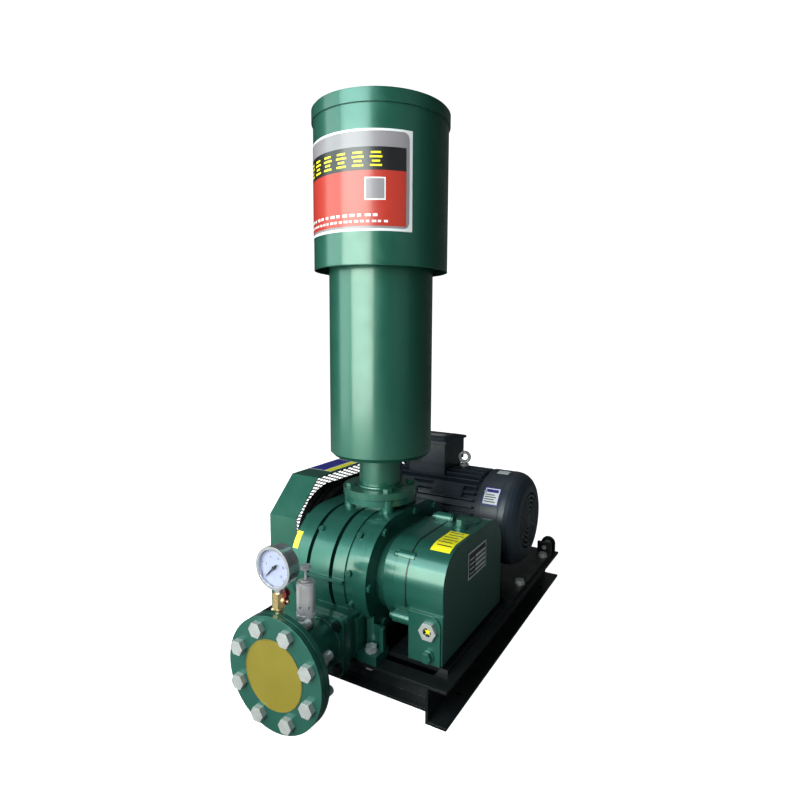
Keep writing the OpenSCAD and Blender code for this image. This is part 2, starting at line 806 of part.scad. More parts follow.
module gear_case() {
    color("#22755b") difference() {
        union() {
            twin(plate_x1, case_x0 + 1, gear_case_r - 12);
            twin(case_x0, case_x1, gear_case_r - 3);
            twin(boss_x0, case_x1, gear_case_r);
            shoulders(case_x0, case_x1, 3);
            shoulders(boss_x0, case_x1, 0);
            for (p = cover_bolt_at) bar_x(boss_x0, case_x1, p[0], p[1], boss_r);
        }
        twin(case_x0 + gear_wall, case_x1 + 1, gear_case_r - gear_wall - 3);
        for (y = shafts) bar_x(plate_x1 - 1, case_x0 + gear_wall + 1, y, shaft_z, hub_r + seat);
        for (p = cover_bolt_at) {
            bar_x(case_x0, case_x1 + 1, p[0], p[1], cover_bolt_d / 2 + hole_fit);
            bar_x(boss_x0 - 9, boss_x0, p[0], p[1], 0.8 * cover_bolt_d + hole_fit);
        }
    }
}

module gear_cover() {
    color("#237a5f") difference() {
        union() {
            cover_form(case_x1, cover_x1, 0);
            shoulders(case_x1, cover_x1, 0);
            for (p = cover_bolt_at) {
                bar_x(case_x1, boss_x1 - 3, p[0], p[1], boss_r);
                bar_x(boss_x1 - 4, boss_x1, p[0], p[1], boss_r - 2);
            }
            block([case_x1 + 9, near_y - sump_pad, sump_z], [cover_x1 - 3 - pad_r, near_y + 5, ledge_z]);
            block([case_x1 + 9, near_y - sump_pad, sump_z], [cover_x1 - 3, near_y + 5, ledge_z - pad_r]);
            bar_y(near_y - sump_pad, near_y + 5, cover_x1 - 3 - pad_r, ledge_z - pad_r, pad_r);
            bar_z(shaft_z + gear_case_r - 4, shaft_z + gear_case_r + 4, plug_x, plug_y, plug_d / 2 + 5);
            bar_z(shaft_z + gear_case_r - 4, shaft_z + gear_case_r + 2, plug_x - 2, plug_y + 48, 22);
        }
        cover_form(case_x1 + gear_wall, cover_x1 - gear_wall, gear_wall);
        twin(case_x1 - 1, case_x1 + gear_wall + 1, gear_case_r - gear_wall);
        for (p = cover_bolt_at) bar_x(case_x1 - 1, boss_x1 - 2, p[0], p[1], cover_bolt_d / 2 + hole_fit);
        bar_z(shaft_z + gear_case_r - 20, shaft_z + gear_case_r + 5, plug_x, plug_y, plug_d / 2 + seat);
        bar_y(near_y - sump_pad - 1, near_y + 20, sight_x, sight_z, sight_d / 2 + seat);
        bar_y(near_y - sump_pad - 1, near_y + 20, sight_x - 1, drain_z, drain_d / 2 + seat);
    }
}

module cover_bolts() {
    color("#9db3a8") for (p = cover_bolt_at) {
        difference() {
            union() {
                bar_x(boss_x0, boss_x1 - 3, p[0], p[1], cover_bolt_d / 2);
                bar_x(boss_x0 - 8, boss_x0, p[0], p[1], 0.8 * cover_bolt_d);
            }
            bar_x(boss_x0 - 9, boss_x0 - 4, p[0], p[1], across(0.75 * cover_bolt_d), 6);
        }
    }
}

module filler_plug() {
    z = shaft_z + gear_case_r + 4;
    color("#2a7d63") {
        bar_z(z - 16, z, plug_x, plug_y, plug_d / 2);
        bar_z(z, z + 4, plug_x, plug_y, plug_d / 2 + 3);
        bar_z(z + 4, z + 15, plug_x, plug_y, across(plug_d), 6);
    }
}

module sight_glass_nut() {
    y = near_y - sump_pad;
    color("#d4d7da") difference() {
        union() {
            hex_head_y(y - 8, y, sight_x, sight_z, 30);
            bar_y(y, y + 10, sight_x, sight_z, sight_d / 2);
        }
        bar_y(y - 9, y + 11, sight_x, sight_z, sight_d / 2 - 3);
    }
}

module sight_glass() {
    y = near_y - sump_pad;
    color("#d8e6c8") bar_y(y - 6, y - 2, sight_x, sight_z, sight_d / 2 - 3);
}

module drain_plug() {
    y = near_y - sump_pad;
    color("#237a5f") {
        bar_y(y, y + 12, sight_x - 1, drain_z, drain_d / 2);
        bar_y(y - 3, y, sight_x - 1, drain_z, drain_d / 2 + 6);
        hex_head_y(y - 11, y - 3, sight_x - 1, drain_z, 18);
    }
}

// Intake silencer: flange, neck and body as one welded shell
module silencer_body() {
    r = body_d / 2;
    rim = 8;
    color("#1f7a5c") translate([port_x, blower_y, 0]) difference() {
        union() {
            bar_z(inlet_z - inlet_flange_t, inlet_z, 0, 0, inlet_flange_d / 2);
            bar_z(inlet_z - 1, body_z + 20, 0, 0, neck_d / 2);
            translate([0, 0, body_z]) rotate_extrude() polygon([
                [neck_d / 2 - 3, 0], [r - rim, 0], [r, rim], [r, body_len], [r - sheet_t, body_len],
                [r - sheet_t, rim + 1], [r - rim - 1, sheet_t], [neck_d / 2 - 3, sheet_t]
            ]);
            translate([0, 0, body_top - sheet_t]) difference() {
                cylinder(h = sheet_t, r = r - 1);
                translate([0, 0, -1]) cylinder(h = sheet_t + 2, r = core_d / 2 - 2);
            }
        }
        bar_z(inlet_z - inlet_flange_t - 1, body_z + 21, 0, 0, neck_d / 2 - 4);
        for (a = [45:90:315]) {
            bar_z(inlet_z - inlet_flange_t - 1, inlet_z + 1, inlet_pcd / 2 * cos(a), inlet_pcd / 2 * sin(a), 5 + hole_fit);
        }
    }
}

// Perforated tube that carries the air down through the absorber
module silencer_core() {
    r = core_d / 2;
    z0 = body_z + sheet_t + seat;
    row = (core_top - z0 - 60) / 6;
    color("#9fa3a6") translate([port_x, blower_y, 0]) difference() {
        bar_z(z0, core_top, 0, 0, r);
        bar_z(z0 - 1, core_top + 1, 0, 0, r - sheet_t);
        for (i = [0 : 5], a = [0, 90]) translate([0, 0, z0 + 50 + i * row]) rotate([0, 90, a + (i % 2) * 45])
            translate([0, 0, -r - 5]) cylinder(h = 2 * r + 10, r = 8);
    }
}

module silencer_cap() {
    r = cap_d / 2;
    z1 = cap_top - lid_h;
    arm_z = body_top - 60;
    color("#1f7a5c") translate([port_x, blower_y, 0]) {
        difference() {
            bar_z(cap_z, z1, 0, 0, r);
            bar_z(cap_z - 1, z1 + 1, 0, 0, r - sheet_t);
        }
        for (a = [45:90:315]) rotate(a) block([body_d / 2 + seat, -2, arm_z], [r - sheet_t + 1, 2, arm_z + 40]);
    }
}

module silencer_lid() {
    r = cap_d / 2 + 3;
    z = cap_top - lid_h;
    color("#217d5f") translate([port_x, blower_y, 0]) difference() {
        union() {
            bar_z(z - 3, z + lid_h - 3, 0, 0, r);
            bar_z(z + lid_h - 3, z + lid_h, 0, 0, r - 2.5);
        }
        bar_z(z - 4, z, 0, 0, cap_d / 2 + seat);
        bar_z(z - 1, z + lid_h - 5, 0, 0, cap_d / 2 - sheet_t);
        bar_z(z + lid_h - 1.5, z + lid_h + 1, 0, 0, r - 9);
    }
}

module inlet_bolts() {
    color("#8fb3a4") for (a = [45:90:315]) {
        x = port_x + inlet_pcd / 2 * cos(a);
        y = blower_y + inlet_pcd / 2 * sin(a);
        bar_z(collar_z - 26, inlet_z, x, y, 5);
        bar_z(inlet_z, inlet_z + 7, x, y, across(17), 6);
    }
}

// Discharge pipe with its square flange, round flange and the sockets on top
module round_flange(y0, y1) {
    difference() {
        bar_y(y0, y1, port_x, outlet_z, flange_d / 2);
        flange_holes(y0, y1);
    }
}

module flange_holes(y0, y1) {
    for (i = [0 : flange_bolts_n - 1]) {
        a = (i + 0.5) * 360 / flange_bolts_n;
        bar_y(y0 - 1, y1 + 1, port_x + flange_pcd / 2 * cos(a), outlet_z + flange_pcd / 2 * sin(a), flange_bolt_d / 2 + 1);
    }
}

module discharge_pipe() {
    color("#1f6b52") difference() {
        union() {
            square_plate(pipe_square_y - square_t, pipe_square_y);
            bar_y(pipe_y0, pipe_square_y, port_x, outlet_z, pipe_r);
            round_flange(pipe_y0, pipe_y0 + flange_t);
            bar_z(outlet_z + pipe_r - 8, outlet_z + pipe_r + 10, gauge_x, gauge_y, 9);
            bar_z(outlet_z + pipe_r - 6, outlet_z + pipe_r + 8, port_x, relief_y, 13);
        }
        bar_y(pipe_y0 - 1, pipe_square_y + 1, port_x, outlet_z, pipe_r - pipe_t);
        square_holes(pipe_square_y - square_t - 1, pipe_square_y + 1);
        bar_z(outlet_z, outlet_z + pipe_r + 11, gauge_x, gauge_y, 6.5);
        bar_z(outlet_z, outlet_z + pipe_r + 11, port_x, relief_y, 8);
    }
}

module companion_flange() {
    color("#2c8266") difference() {
        round_flange(front_y, companion_y);
        bar_y(front_y - 1, companion_y + 1, port_x, outlet_z, pipe_r + 1);
    }
}

module port_gaskets() {
    color("#3a3a36") {
        difference() {
            square_plate(square_y - square_t - gasket_t, square_y - square_t);
            bar_y(pipe_square_y - 1, square_y, port_x, outlet_z, pipe_r);
            square_holes(pipe_square_y - 1, square_y);
        }
        difference() {
            bar_y(companion_y, pipe_y0, port_x, outlet_z, flange_pcd / 2 - flange_bolt_d / 2 - 2);
            bar_y(companion_y - 1, pipe_y0 + 1, port_x, outlet_z, pipe_r);
        }
        translate([port_x, blower_y, 0]) difference() {
            bar_z(collar_z, collar_z + gasket_t, 0, 0, inlet_pcd / 2 - 8);
            bar_z(collar_z - 1, collar_z + gasket_t + 1, 0, 0, port_r);
        }
    }
}

module square_flange_bolts() {
    y0 = pipe_square_y - square_t;
    y1 = square_y;
    color("#3c4244") for (sx = [-1, 1], sz = [-1, 1]) {
        x = port_x + sx * square_bolt_r;
        z = outlet_z + sz * square_bolt_r;
        bar_y(y0, y1 - square_t + 8, x, z, square_bolt_d / 2);
        hex_head_y(y0 - 7, y0, x, z, 1.6 * square_bolt_d);
    }
}

module flange_bolts() {
    color("#c9cdd0") for (i = [0 : flange_bolts_n - 1]) {
        a = (i + 0.5) * 360 / flange_bolts_n;
        x = port_x + flange_pcd / 2 * cos(a);
        z = outlet_z + flange_pcd / 2 * sin(a);
        back = pipe_y0 + flange_t;
        bar_y(front_y, front_y + flange_bolt_l, x, z, flange_bolt_d / 2);
        hex_head_y(front_y - 10, front_y, x, z, 1.5 * flange_bolt_d);
        hex_head_y(back, back + 13, x, z, 1.5 * flange_bolt_d);
    }
}

module cover_disc() {
    color("#b59a3c") bar_y(front_y - 1, front_y, port_x, outlet_z, cover_disc_d / 2);
}

// Pressure gauge on its brass cock
module gauge_case() {
    r = gauge_d / 2;
    y1 = gauge_y + gauge_depth / 2;
    color("#c9ccd2") translate([gauge_x, 0, gauge_z]) difference() {
        union() {
            bar_y(gauge_face + 4, y1 - 3, 0, 0, r - 2.5);
            bar_y(gauge_face, gauge_face + 7, 0, 0, r);
            bar_y(y1 - 4, y1, 0, 0, r - 6);
            translate([0, gauge_y, -r - 9]) cylinder(h = 12, r = 8.5, $fn = 8);
        }
        bar_y(gauge_face - 1, y1 - 3, 0, 0, r - 5);
    }
}

module gauge_dial() {
    color("#eeeaf6") bar_y(gauge_face + 6, gauge_face + 7.5, gauge_x, gauge_z, gauge_d / 2 - 5.1);
}

gauge_hub_y = gauge_face + 3;
needle_rest = 225;

module gauge_needle() {
    color("#26262c") translate([gauge_x, gauge_hub_y, gauge_z]) {
        bar_y(-0.8, 2.6, 0, 0, 3);
        rotate([0, 90 - needle_rest, 0]) translate([0, 0.4, 0]) rotate([90, 0, 0])
            linear_extrude(height = 0.8) polygon([[-1.6, -8], [1.6, -8], [0.5, gauge_d * 0.32], [-0.5, gauge_d * 0.32]]);
    }
}

module gauge_glass() {
    color([0.85, 0.9, 0.95, 0.35]) bar_y(gauge_face + 0.2, gauge_face + 1.8, gauge_x, gauge_z, gauge_d / 2 - 5.1);
}

module gauge_cock() {
    top = gauge_z - gauge_d / 2 - 9;
    low = outlet_z + pipe_r + 10;
    color("#b08a45") translate([gauge_x, gauge_y, 0]) {
        bar_z(low - 8, cock_z, 0, 0, 6.3);
        bar_z(outlet_z + flange_d / 2 + 1, cock_z - 11, 0, 0, 8.5);
        bar_z(cock_z - 12, top, 0, 0, across(20), 6);
        bar_x(-13, 0, 0, cock_z - 22, 3.2);
        translate([-13, 0, cock_z - 22]) sphere(r = 4.6);
        bar_x(6, 13.6, 0, cock_z, 6);
        bar_x(13, 21, 0, cock_z, 3);
    }
}

lever_len = 22;

module cock_lever() {
    color("#a5232b") translate([gauge_x, gauge_y, cock_z]) difference() {
        union() {
            bar_x(14, 16.6, 0, 0, 6);
            block([14, -4.8, 0], [16.6, 4.8, lever_len - 4.8]);
            bar_x(14, 16.6, 0, lever_len - 4.8, 4.8);
            block([15, -4.8, 9], [19.6, -3.2, lever_len - 5]);
            block([15, 3.2, 9], [19.6, 4.8, lever_len - 5]);
        }
        bar_x(13.5, 17.5, 0, 0, 3 + run_fit);
    }
}

// Spring-loaded relief valve on the discharge pipe
relief_top = relief_z + relief_len;
wire_r = 1.1;
spring_step = 2 * wire_r + 0.7;

module relief_body() {
    r = relief_d / 2;
    color("#c4c7cc") translate([port_x, relief_y, 0]) difference() {
        union() {
            bar_z(relief_z - 30, relief_z, 0, 0, 7.8);
            bar_z(relief_z - 10, relief_z - 3, 0, 0, across(22), 6);
            bar_z(relief_z - 1, relief_z + 2, 0, 0, r - 2);
            bar_z(relief_z + 2, relief_top, 0, 0, r);
            bar_z(relief_top - 1, relief_top + 3, 0, 0, r - 2.2);
            bar_z(relief_top, relief_top + 6, 0, 0, 8);
            bar_z(relief_z + 2, relief_z + 8, 0, 0, r + 1);
        }
        bar_z(relief_z + 8, relief_top - 3, 0, 0, r - 3);
        bar_z(relief_z - 31, relief_z + 9, 0, 0, 5);
        bar_z(relief_top - 4, relief_top + 7, 0, 0, 2.4);
        for (a = [30:60:330]) rotate(a) translate([r - 6, 0, relief_z + 22]) rotate([0, 90, 0]) cylinder(h = 8, r = 2);
    }
}

module relief_spring() {
    z0 = relief_z + 13.2;
    z1 = relief_top - 3.4;
    rings = floor((z1 - z0 - 2 * wire_r) / spring_step);
    step = (z1 - z0 - 2 * wire_r) / rings;
    color("#9a9da2") translate([port_x, relief_y, 0]) for (i = [0 : rings]) {
        translate([0, 0, z0 + wire_r + i * step]) rotate_extrude() translate([6.2, 0]) circle(r = wire_r);
    }
}

module relief_stem() {
    color("#b2b5ba") translate([port_x, relief_y, 0]) {
        bar_z(relief_z + 8.2, relief_z + 12.9, 0, 0, 8);
        bar_z(relief_z + 12, relief_top + 26, 0, 0, 2.3);
        bar_z(relief_top + 25, relief_top + 29, 0, 0, 9.8);
        bar_z(relief_top + 29, relief_top + 32, 0, 0, 7.5);
    }
}

// Pulley with a V groove for each belt
function groove_at(i) = 2.5 + (i + 0.5) * belt_pitch;

module pulley(y, z, r, bore) {
    half_back = belt_w / 2 + 1.6;
    half_low = half_back - groove_depth * 0.32;
    profile = concat(
        [[bore / 2, 0], [r, 0]],
        [for (i = [0 : belts_n - 1], c = [[-half_back, 0], [-half_low, 1], [half_low, 1], [half_back, 0]])
            [r - c[1] * groove_depth, groove_at(i) + c[0]]],
        [[r, pulley_w], [bore / 2, pulley_w]]
    );
    translate([pulley_x0, y, z]) rotate([0, 90, 0]) difference() {
        rotate_extrude($fn = 96) polygon(profile);
        for (h = [-1, pulley_w - 12]) translate([0, 0, h]) difference() {
            cylinder(h = 13, r = r - groove_depth - 8);
            translate([0, 0, -1]) cylinder(h = 15, r = bore / 2 + 16);
        }
        for (a = [0:60:300]) rotate(a) translate([(r - groove_depth - 8 + bore / 2 + 16) / 2, 0, -1]) cylinder(h = pulley_w + 2, r = 13);
    }
}

module blower_pulley() {
    color("#26292c") pulley(drive_y, shaft_z, blower_pulley_d / 2, shaft_d + run_fit);
}

module motor_pulley() {
    color("#2a2d30") pulley(motor_y, motor_z, motor_pulley_d / 2, motor_shaft_d + run_fit);
}

// Belt loop: two arcs and their outer tangents
belt_run = [motor_y - drive_y, motor_z - shaft_z];
belt_dist = norm(belt_run);
belt_tilt = atan2(belt_run[1], belt_run[0]);

belt_steps = 18;

module loop_form(r1, r2) {
    a = acos((r1 - r2) / belt_dist);
    far = [for (i = [0 : belt_steps]) let (t = -a + i * 2 * a / belt_steps) [belt_dist, 0] + r2 * [cos(t), sin(t)]];
    near = [for (i = [0 : belt_steps]) let (t = a + i * (360 - 2 * a) / belt_steps) r1 * [cos(t), sin(t)]];
    polygon(concat(far, near));
}

module drive_belts() {
    back = 0.6;
    r1 = blower_pulley_d / 2 + back;
    r2 = motor_pulley_d / 2 + back;
    color("#141517") for (i = [0 : belts_n - 1]) {
        x = pulley_x0 + groove_at(i);
        translate([x - belt_w / 2, drive_y, shaft_z]) rotate([90, 0, 90]) rotate(belt_tilt) difference() {
            linear_extrude(height = belt_w) loop_form(r1, r2);
            translate([0, 0, -1]) linear_extrude(height = belt_w + 2) loop_form(r1 - belt_h * 0.55, r2 - belt_h * 0.55);
        }
    }
}

// Belt guard: a folded rim, open towards the blower, with expanded mesh at its outer side
// Outline of the guard at depth t under its outside, down to the level z0
function guard_form(t, z0) =
    let (k = t * (sqrt(2) - 1))
    [
        [guard_front + t, z0], [guard_front + t, guard_top - guard_slope - k],
        [guard_front + guard_slope + k, guard_top - t], [guard_back - guard_slope - k, guard_top - t],
        [guard_back - t, guard_top - guard_slope - k], [guard_back - t, z0]
    ];

module guard_ring(x0, x1, t, z_in) {
    along_x(x0, x1) difference() {
        polygon(guard_form(0, guard_foot));
        polygon(guard_form(t, z_in));
    }
}

module guard_rim() {
    lip = 14;
    color("#1f7a5c") {
        guard_ring(guard_x0 + guard_t, guard_x1, guard_t, guard_foot - 1);
        guard_ring(guard_x0, guard_x0 + guard_t, lip, guard_foot + lip);
        // Straps that stand the guard on the frame
        for (y = [guard_front + 30, mid_cross_y - 4]) {
            block([guard_x0, y, rail_h], [guard_x0 + guard_t, y + 30, guard_foot + 1]);
            block([guard_x0 - 10, y, rail_h], [guard_x0 + 1, y + 30, rail_h + 3]);
        }
    }
}

// Diamond openings whose corners all lie well inside the rim
cell_h = mesh_pitch / 2;
cell_rows = floor((guard_top - guard_foot) / cell_h * 2);
cell_cols = floor((guard_back - guard_front) / mesh_pitch);

function in_guard(y, z, my, mz) =
    z > guard_foot + mz && z < guard_top - mz && y > guard_front + my && y < guard_back - my
    && (y - guard_front) + (guard_top - z) > guard_slope + my + 4
    && (guard_back - y) + (guard_top - z) > guard_slope + my + 4;

cells = [
    for (j = [0 : cell_rows], i = [0 : cell_cols])
        let (y = guard_front + (i + (j % 2) / 2) * mesh_pitch, z = guard_foot + j * cell_h / 2)
        if (in_guard(y, z, 6 + mesh_pitch / 2, 8 + cell_h / 2)) [y, z]
];
strand = 3;
cell_points = [
    for (c = cells, k = [[1, 0], [0, 1], [-1, 0], [0, -1]])
        c + [k[0] * (mesh_pitch / 2 - strand), k[1] * (cell_h / 2 - strand / 2)]
];

module guard_mesh() {
    frame = guard_form(guard_t + 1, guard_foot + 3);
    n = len(frame);
    color("#2f3234") along_x(guard_x0 + guard_t + seat, guard_x0 + guard_t + seat + 1.5) polygon(
        points = concat(frame, cell_points),
        paths = concat([[for (i = [0 : n - 1]) i]], [for (c = [0 : len(cells) - 1]) [for (k = [0 : 3]) n + 4 * c + k]])
    );
}

// Motor: finned frame with feet, end shields, spindle, fan and cowl
module motor_frame() {
    color("#23272e") difference() {
        union() {
            bar_x(frame_x0, frame_x1, motor_y, motor_z, barrel_r);
            for (i = [0 : fins_n - 1]) translate([frame_x0 + 4, motor_y, motor_z]) rotate([i * 360 / fins_n + 4.5, 0, 0])
                block([0, -fin_t / 2, barrel_r - 3], [frame_x1 - frame_x0 - 8, fin_t / 2, fin_r]);
            for (s = [-1, 1]) motor_foot(s);
            block([box_x0 + 4, motor_y - box_d / 2 + 8, motor_z + barrel_r - 14], [box_x0 + box_w - 4, motor_y + box_d / 2 - 8, box_z]);
            bar_z(motor_z + barrel_r - 5, motor_z + fin_r + 2, eye_x, motor_y, 13);
            translate([frame_x0 + 111, motor_y, motor_z]) rotate([-40, 0, 0])
                block([0, -fin_r - 1, -16], [80, -barrel_r + 3, 16]);
        }
        bar_x(frame_x0 - 1, frame_x1 + 1, motor_y, motor_z, rotor_r + 1);
        for (x = [foot_x0, foot_x0 + foot_b], s = [-1, 1]) {
            bar_z(feet_z - 1, feet_z + 20, x, motor_y + s * foot_a / 2, 6 + hole_fit);
        }
        bar_z(motor_z + barrel_r - 4, motor_z + fin_r + 3, eye_x, motor_y, 5 + seat);
        block([frame_x0 - 1, motor_y - 200, feet_z - 80], [frame_x1 + 1, motor_y + 200, feet_z]);
    }
}

eye_x = frame_x0 + 158;

module motor_foot(s) {
    y = motor_y + s * foot_a / 2;
    block([foot_x0 - 22, min(y + s * 16, motor_y + s * 55), feet_z], [foot_x0 + foot_b + 22, max(y + s * 16, motor_y + s * 55), feet_z + 12]);
    for (x = [foot_x0 - 22, foot_x0 + foot_b + 13]) {
        block([x, min(y - s * 4, motor_y + s * 50), feet_z], [x + 9, max(y - s * 4, motor_y + s * 50), feet_z + 52]);
    }
}

module motor_end_shields() {
    color("#1f2329") {
        difference() {
            union() {
                bar_x(motor_x0 + 2, frame_x0, motor_y, motor_z, barrel_r - 12);
                bar_x(frame_x0 - 9, frame_x0, motor_y, motor_z, barrel_r + 4);
                for (a = [45:90:315]) bar_x(frame_x0 - 14, frame_x0, motor_y + barrel_r * cos(a), motor_z + barrel_r * sin(a), 9);
            }
            bar_x(motor_x0, frame_x0 + 1, motor_y, motor_z, motor_shaft_d / 2 + run_fit);
        }
        difference() {
            union() {
                bar_x(frame_x1, cowl_x0 + 6, motor_y, motor_z, barrel_r);
                bar_x(cowl_x0 - 2, cowl_x0 + 6, motor_y, motor_z, cowl_r - cowl_t - run_fit);
            }
            bar_x(frame_x1 - 1, cowl_x0 + 7, motor_y, motor_z, motor_shaft_d / 2 + run_fit);
        }
    }
}

module motor_rotor() {
    color("#a9adb2") {
        bar_x(pulley_x0 - 2, cowl_x0 + 38, motor_y, motor_z, motor_shaft_d / 2);
        bar_x(frame_x0 + 24, frame_x1 - 24, motor_y, motor_z, rotor_r);
    }
}

module motor_fan() {
    x0 = cowl_x0 + 12;
    r = cowl_r - 24;
    color("#2b2e33") difference() {
        union() {
            bar_x(x0, x0 + 26, motor_y, motor_z, 22);
            bar_x(x0, x0 + 3, motor_y, motor_z, r - 8);
            for (a = [0:45:315]) translate([x0, motor_y, motor_z]) rotate([a, 0, 0]) block([0, -1.5, 15], [30, 1.5, r]);
        }
        bar_x(x0 - 1, x0 + 31, motor_y, motor_z, motor_shaft_d / 2 + run_fit / 2);
    }
}

// Cowl profile: a straight drum, a round shoulder and a flat grille
cowl_t = 2;
cowl_face_r = cowl_r * 0.66;
cowl_round = cowl_r - cowl_face_r;
function cowl_arc(r, back) = [
    for (i = [0 : 6]) let (a = i * 15)
        [cowl_face_r + (cowl_round - (cowl_r - r)) * cos(a), cowl_len - cowl_round + (cowl_round - back) * sin(a)]
];

module fan_cowl() {
    t = cowl_t;
    color("#22262d") translate([cowl_x0, motor_y, motor_z]) rotate([0, 90, 0]) difference() {
        rotate_extrude($fn = 96) polygon(concat(
            [[cowl_r - t, 0], [cowl_r, 0]], cowl_arc(cowl_r, 0), [[0, cowl_len], [0, cowl_len - t]],
            [for (i = [6 : -1 : 0]) cowl_arc(cowl_r - t, t)[i]]
        ));
        for (k = [0 : 4]) difference() {
            translate([0, 0, cowl_len - 6]) cylinder(h = 10, r = 18 + k * 11 + 4);
            translate([0, 0, cowl_len - 7]) cylinder(h = 12, r = 18 + k * 11);
            for (a = [0:60:120]) rotate(a) translate([-cowl_r, -2, cowl_len - 8]) cube([2 * cowl_r, 4, 14]);
        }
    }
}

module terminal_box() {
    y0 = motor_y - box_d / 2;
    color("#24282e") difference() {
        union() {
            block([box_x0, y0, box_z], [box_x0 + box_w, y0 + box_d, box_z + box_h]);
            bar_y(y0 - 10, y0 + 1, box_x0 + 26, box_z + 17, 12);
        }
        block([box_x0 + 4, y0 + 4, box_z + 4], [box_x0 + box_w - 4, y0 + box_d - 4, box_z + box_h + 1]);
        bar_y(y0 - 11, y0 + 5, box_x0 + 26, box_z + 17, 8);
    }
}

module terminal_lid() {
    y0 = motor_y - box_d / 2;
    z0 = box_z + box_h + 2;
    flare = 5;
    color("#2a2f36") {
        block([box_x0 + 2, y0 + 2, z0 - 2], [box_x0 + box_w - 2, y0 + box_d - 2, z0]);
        hull() {
            block([box_x0 - flare, y0 - flare, z0], [box_x0 + box_w + flare, y0 + box_d + flare, z0 + 6]);
            block([box_x0 + 10, y0 + 3, z0], [box_x0 + box_w - 4, y0 + box_d - 40, z0 + lid_t]);
        }
    }
}

module lifting_eye() {
    z = motor_z + fin_r + 2;
    color("#cfd2d6") translate([eye_x, motor_y, z]) {
        bar_z(-12, 0, 0, 0, 5);
        bar_z(0, 5, 0, 0, 11);
        bar_z(4, 12, 0, 0, 5);
        translate([0, 0, 22]) rotate([90, 0, 20]) rotate_extrude() translate([12, 0]) circle(r = 4, $fn = 32);
    }
}

// Sliding base: a plate on the rails with a riser channel under each pair of motor feet
module slide_base() {
    color("#1d2023") difference() {
        union() {
            block([-half_w + 10, slide_y0, plate_z0], [half_w - 10, slide_y1, plate_z1]);
            for (x = [foot_x0, foot_x0 + foot_b]) riser(x);
            for (side = [-1, 1]) block(
                [side * rod_x - lug_r, slide_y1 - slide_t, plate_z0], [side * rod_x + lug_r, slide_y1, rod_z + lug_r - 4]
            );
        }
        for (x = [foot_x0, foot_x0 + foot_b], s = [-1, 1]) {
            bar_z(feet_z - riser_t - 1, feet_z + 1, x, motor_y + s * foot_a / 2, 6 + hole_fit);
        }
        for (side = [-1, 1], y = hold_y) base_slot(side * hold_x, y);
        for (side = [-1, 1]) bar_y(slide_y1 - slide_t - 1, slide_y1 + 1, side * rod_x, rod_z, rod_d / 2);
    }
}

module riser(x) {
    y0 = slide_y0 + 4;
    y1 = motor_y + foot_a / 2 + 25;
    block([x - riser_w / 2, y0, feet_z - riser_t], [x + riser_w / 2, y1, feet_z]);
    block([x - riser_w / 2, y0, plate_z1], [x + riser_w / 2, y1, plate_z1 + riser_t]);
    block([x - riser_w / 2, y0, plate_z1], [x - riser_w / 2 + riser_t, y1, feet_z]);
}

// Slot in the sliding base: the hold-down bolt stands still while the base moves
module base_slot(x, y) {
    r = hold_d / 2 + hole_fit;
    z0 = plate_z0 - 1;
    for (dy = [-slide_out, slide_in]) bar_z(z0, plate_z1 + 1, x, y + dy, r);
    block([x - r, y - slide_out, z0], [x + r, y + slide_in, plate_z1 + 1]);
}

module tension_rods() {
    color("#c2c5c9") for (side = [-1, 1]) {
        bar_y(slide_y1 - slide_t, lug_y + lug_t + 26, side * rod_x, rod_z, rod_d / 2);
        hex_head_y(slide_y1, slide_y1 + 8, side * rod_x, rod_z, 1.6 * rod_d);
    }
}

module motor_bolts() {
    color("#8d8f92") for (x = [foot_x0, foot_x0 + foot_b], s = [-1, 1]) {
        bolt_z(x, motor_y + s * foot_a / 2, feet_z + 12, feet_z - riser_t, 12);
    }
}

side_rails();
cross_channels();
bearing_plate();
base_bolts();
rotor_casing();
drive_headplate();
gear_headplate();
headplate_bolts();
drive_rotor();
driven_rotor();
drive_shaft();
driven_shaft();
shaft_bearings();
shaft_seals();
drive_end_covers();
drive_timing_gear();
driven_timing_gear();
gear_case();
gear_cover();
cover_bolts();
filler_plug();
sight_glass_nut();
sight_glass();
drain_plug();
silencer_body();
silencer_core();
silencer_cap();
silencer_lid();
inlet_bolts();
discharge_pipe();
port_gaskets();
square_flange_bolts();
companion_flange();
flange_bolts();
cover_disc();
gauge_case();
gauge_dial();
gauge_needle();
gauge_glass();
gauge_cock();
cock_lever();
relief_body();
relief_spring();
relief_stem();
blower_pulley();
motor_pulley();
drive_belts();
guard_rim();
guard_mesh();
motor_frame();
motor_end_shields();
motor_rotor();
motor_fan();
fan_cowl();
terminal_box();
terminal_lid();
lifting_eye();
slide_base();
tension_rods();
motor_bolts();
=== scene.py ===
"""Dressed model of the roots blower set: finishes, labels, weld beads, mesh, stage, lamps and camera.

The solids come from the frame. Everything here is drawn round them in the same coordinates, in metres.
"""

import math
import bmesh
import bpy
from mathutils import Matrix, Vector


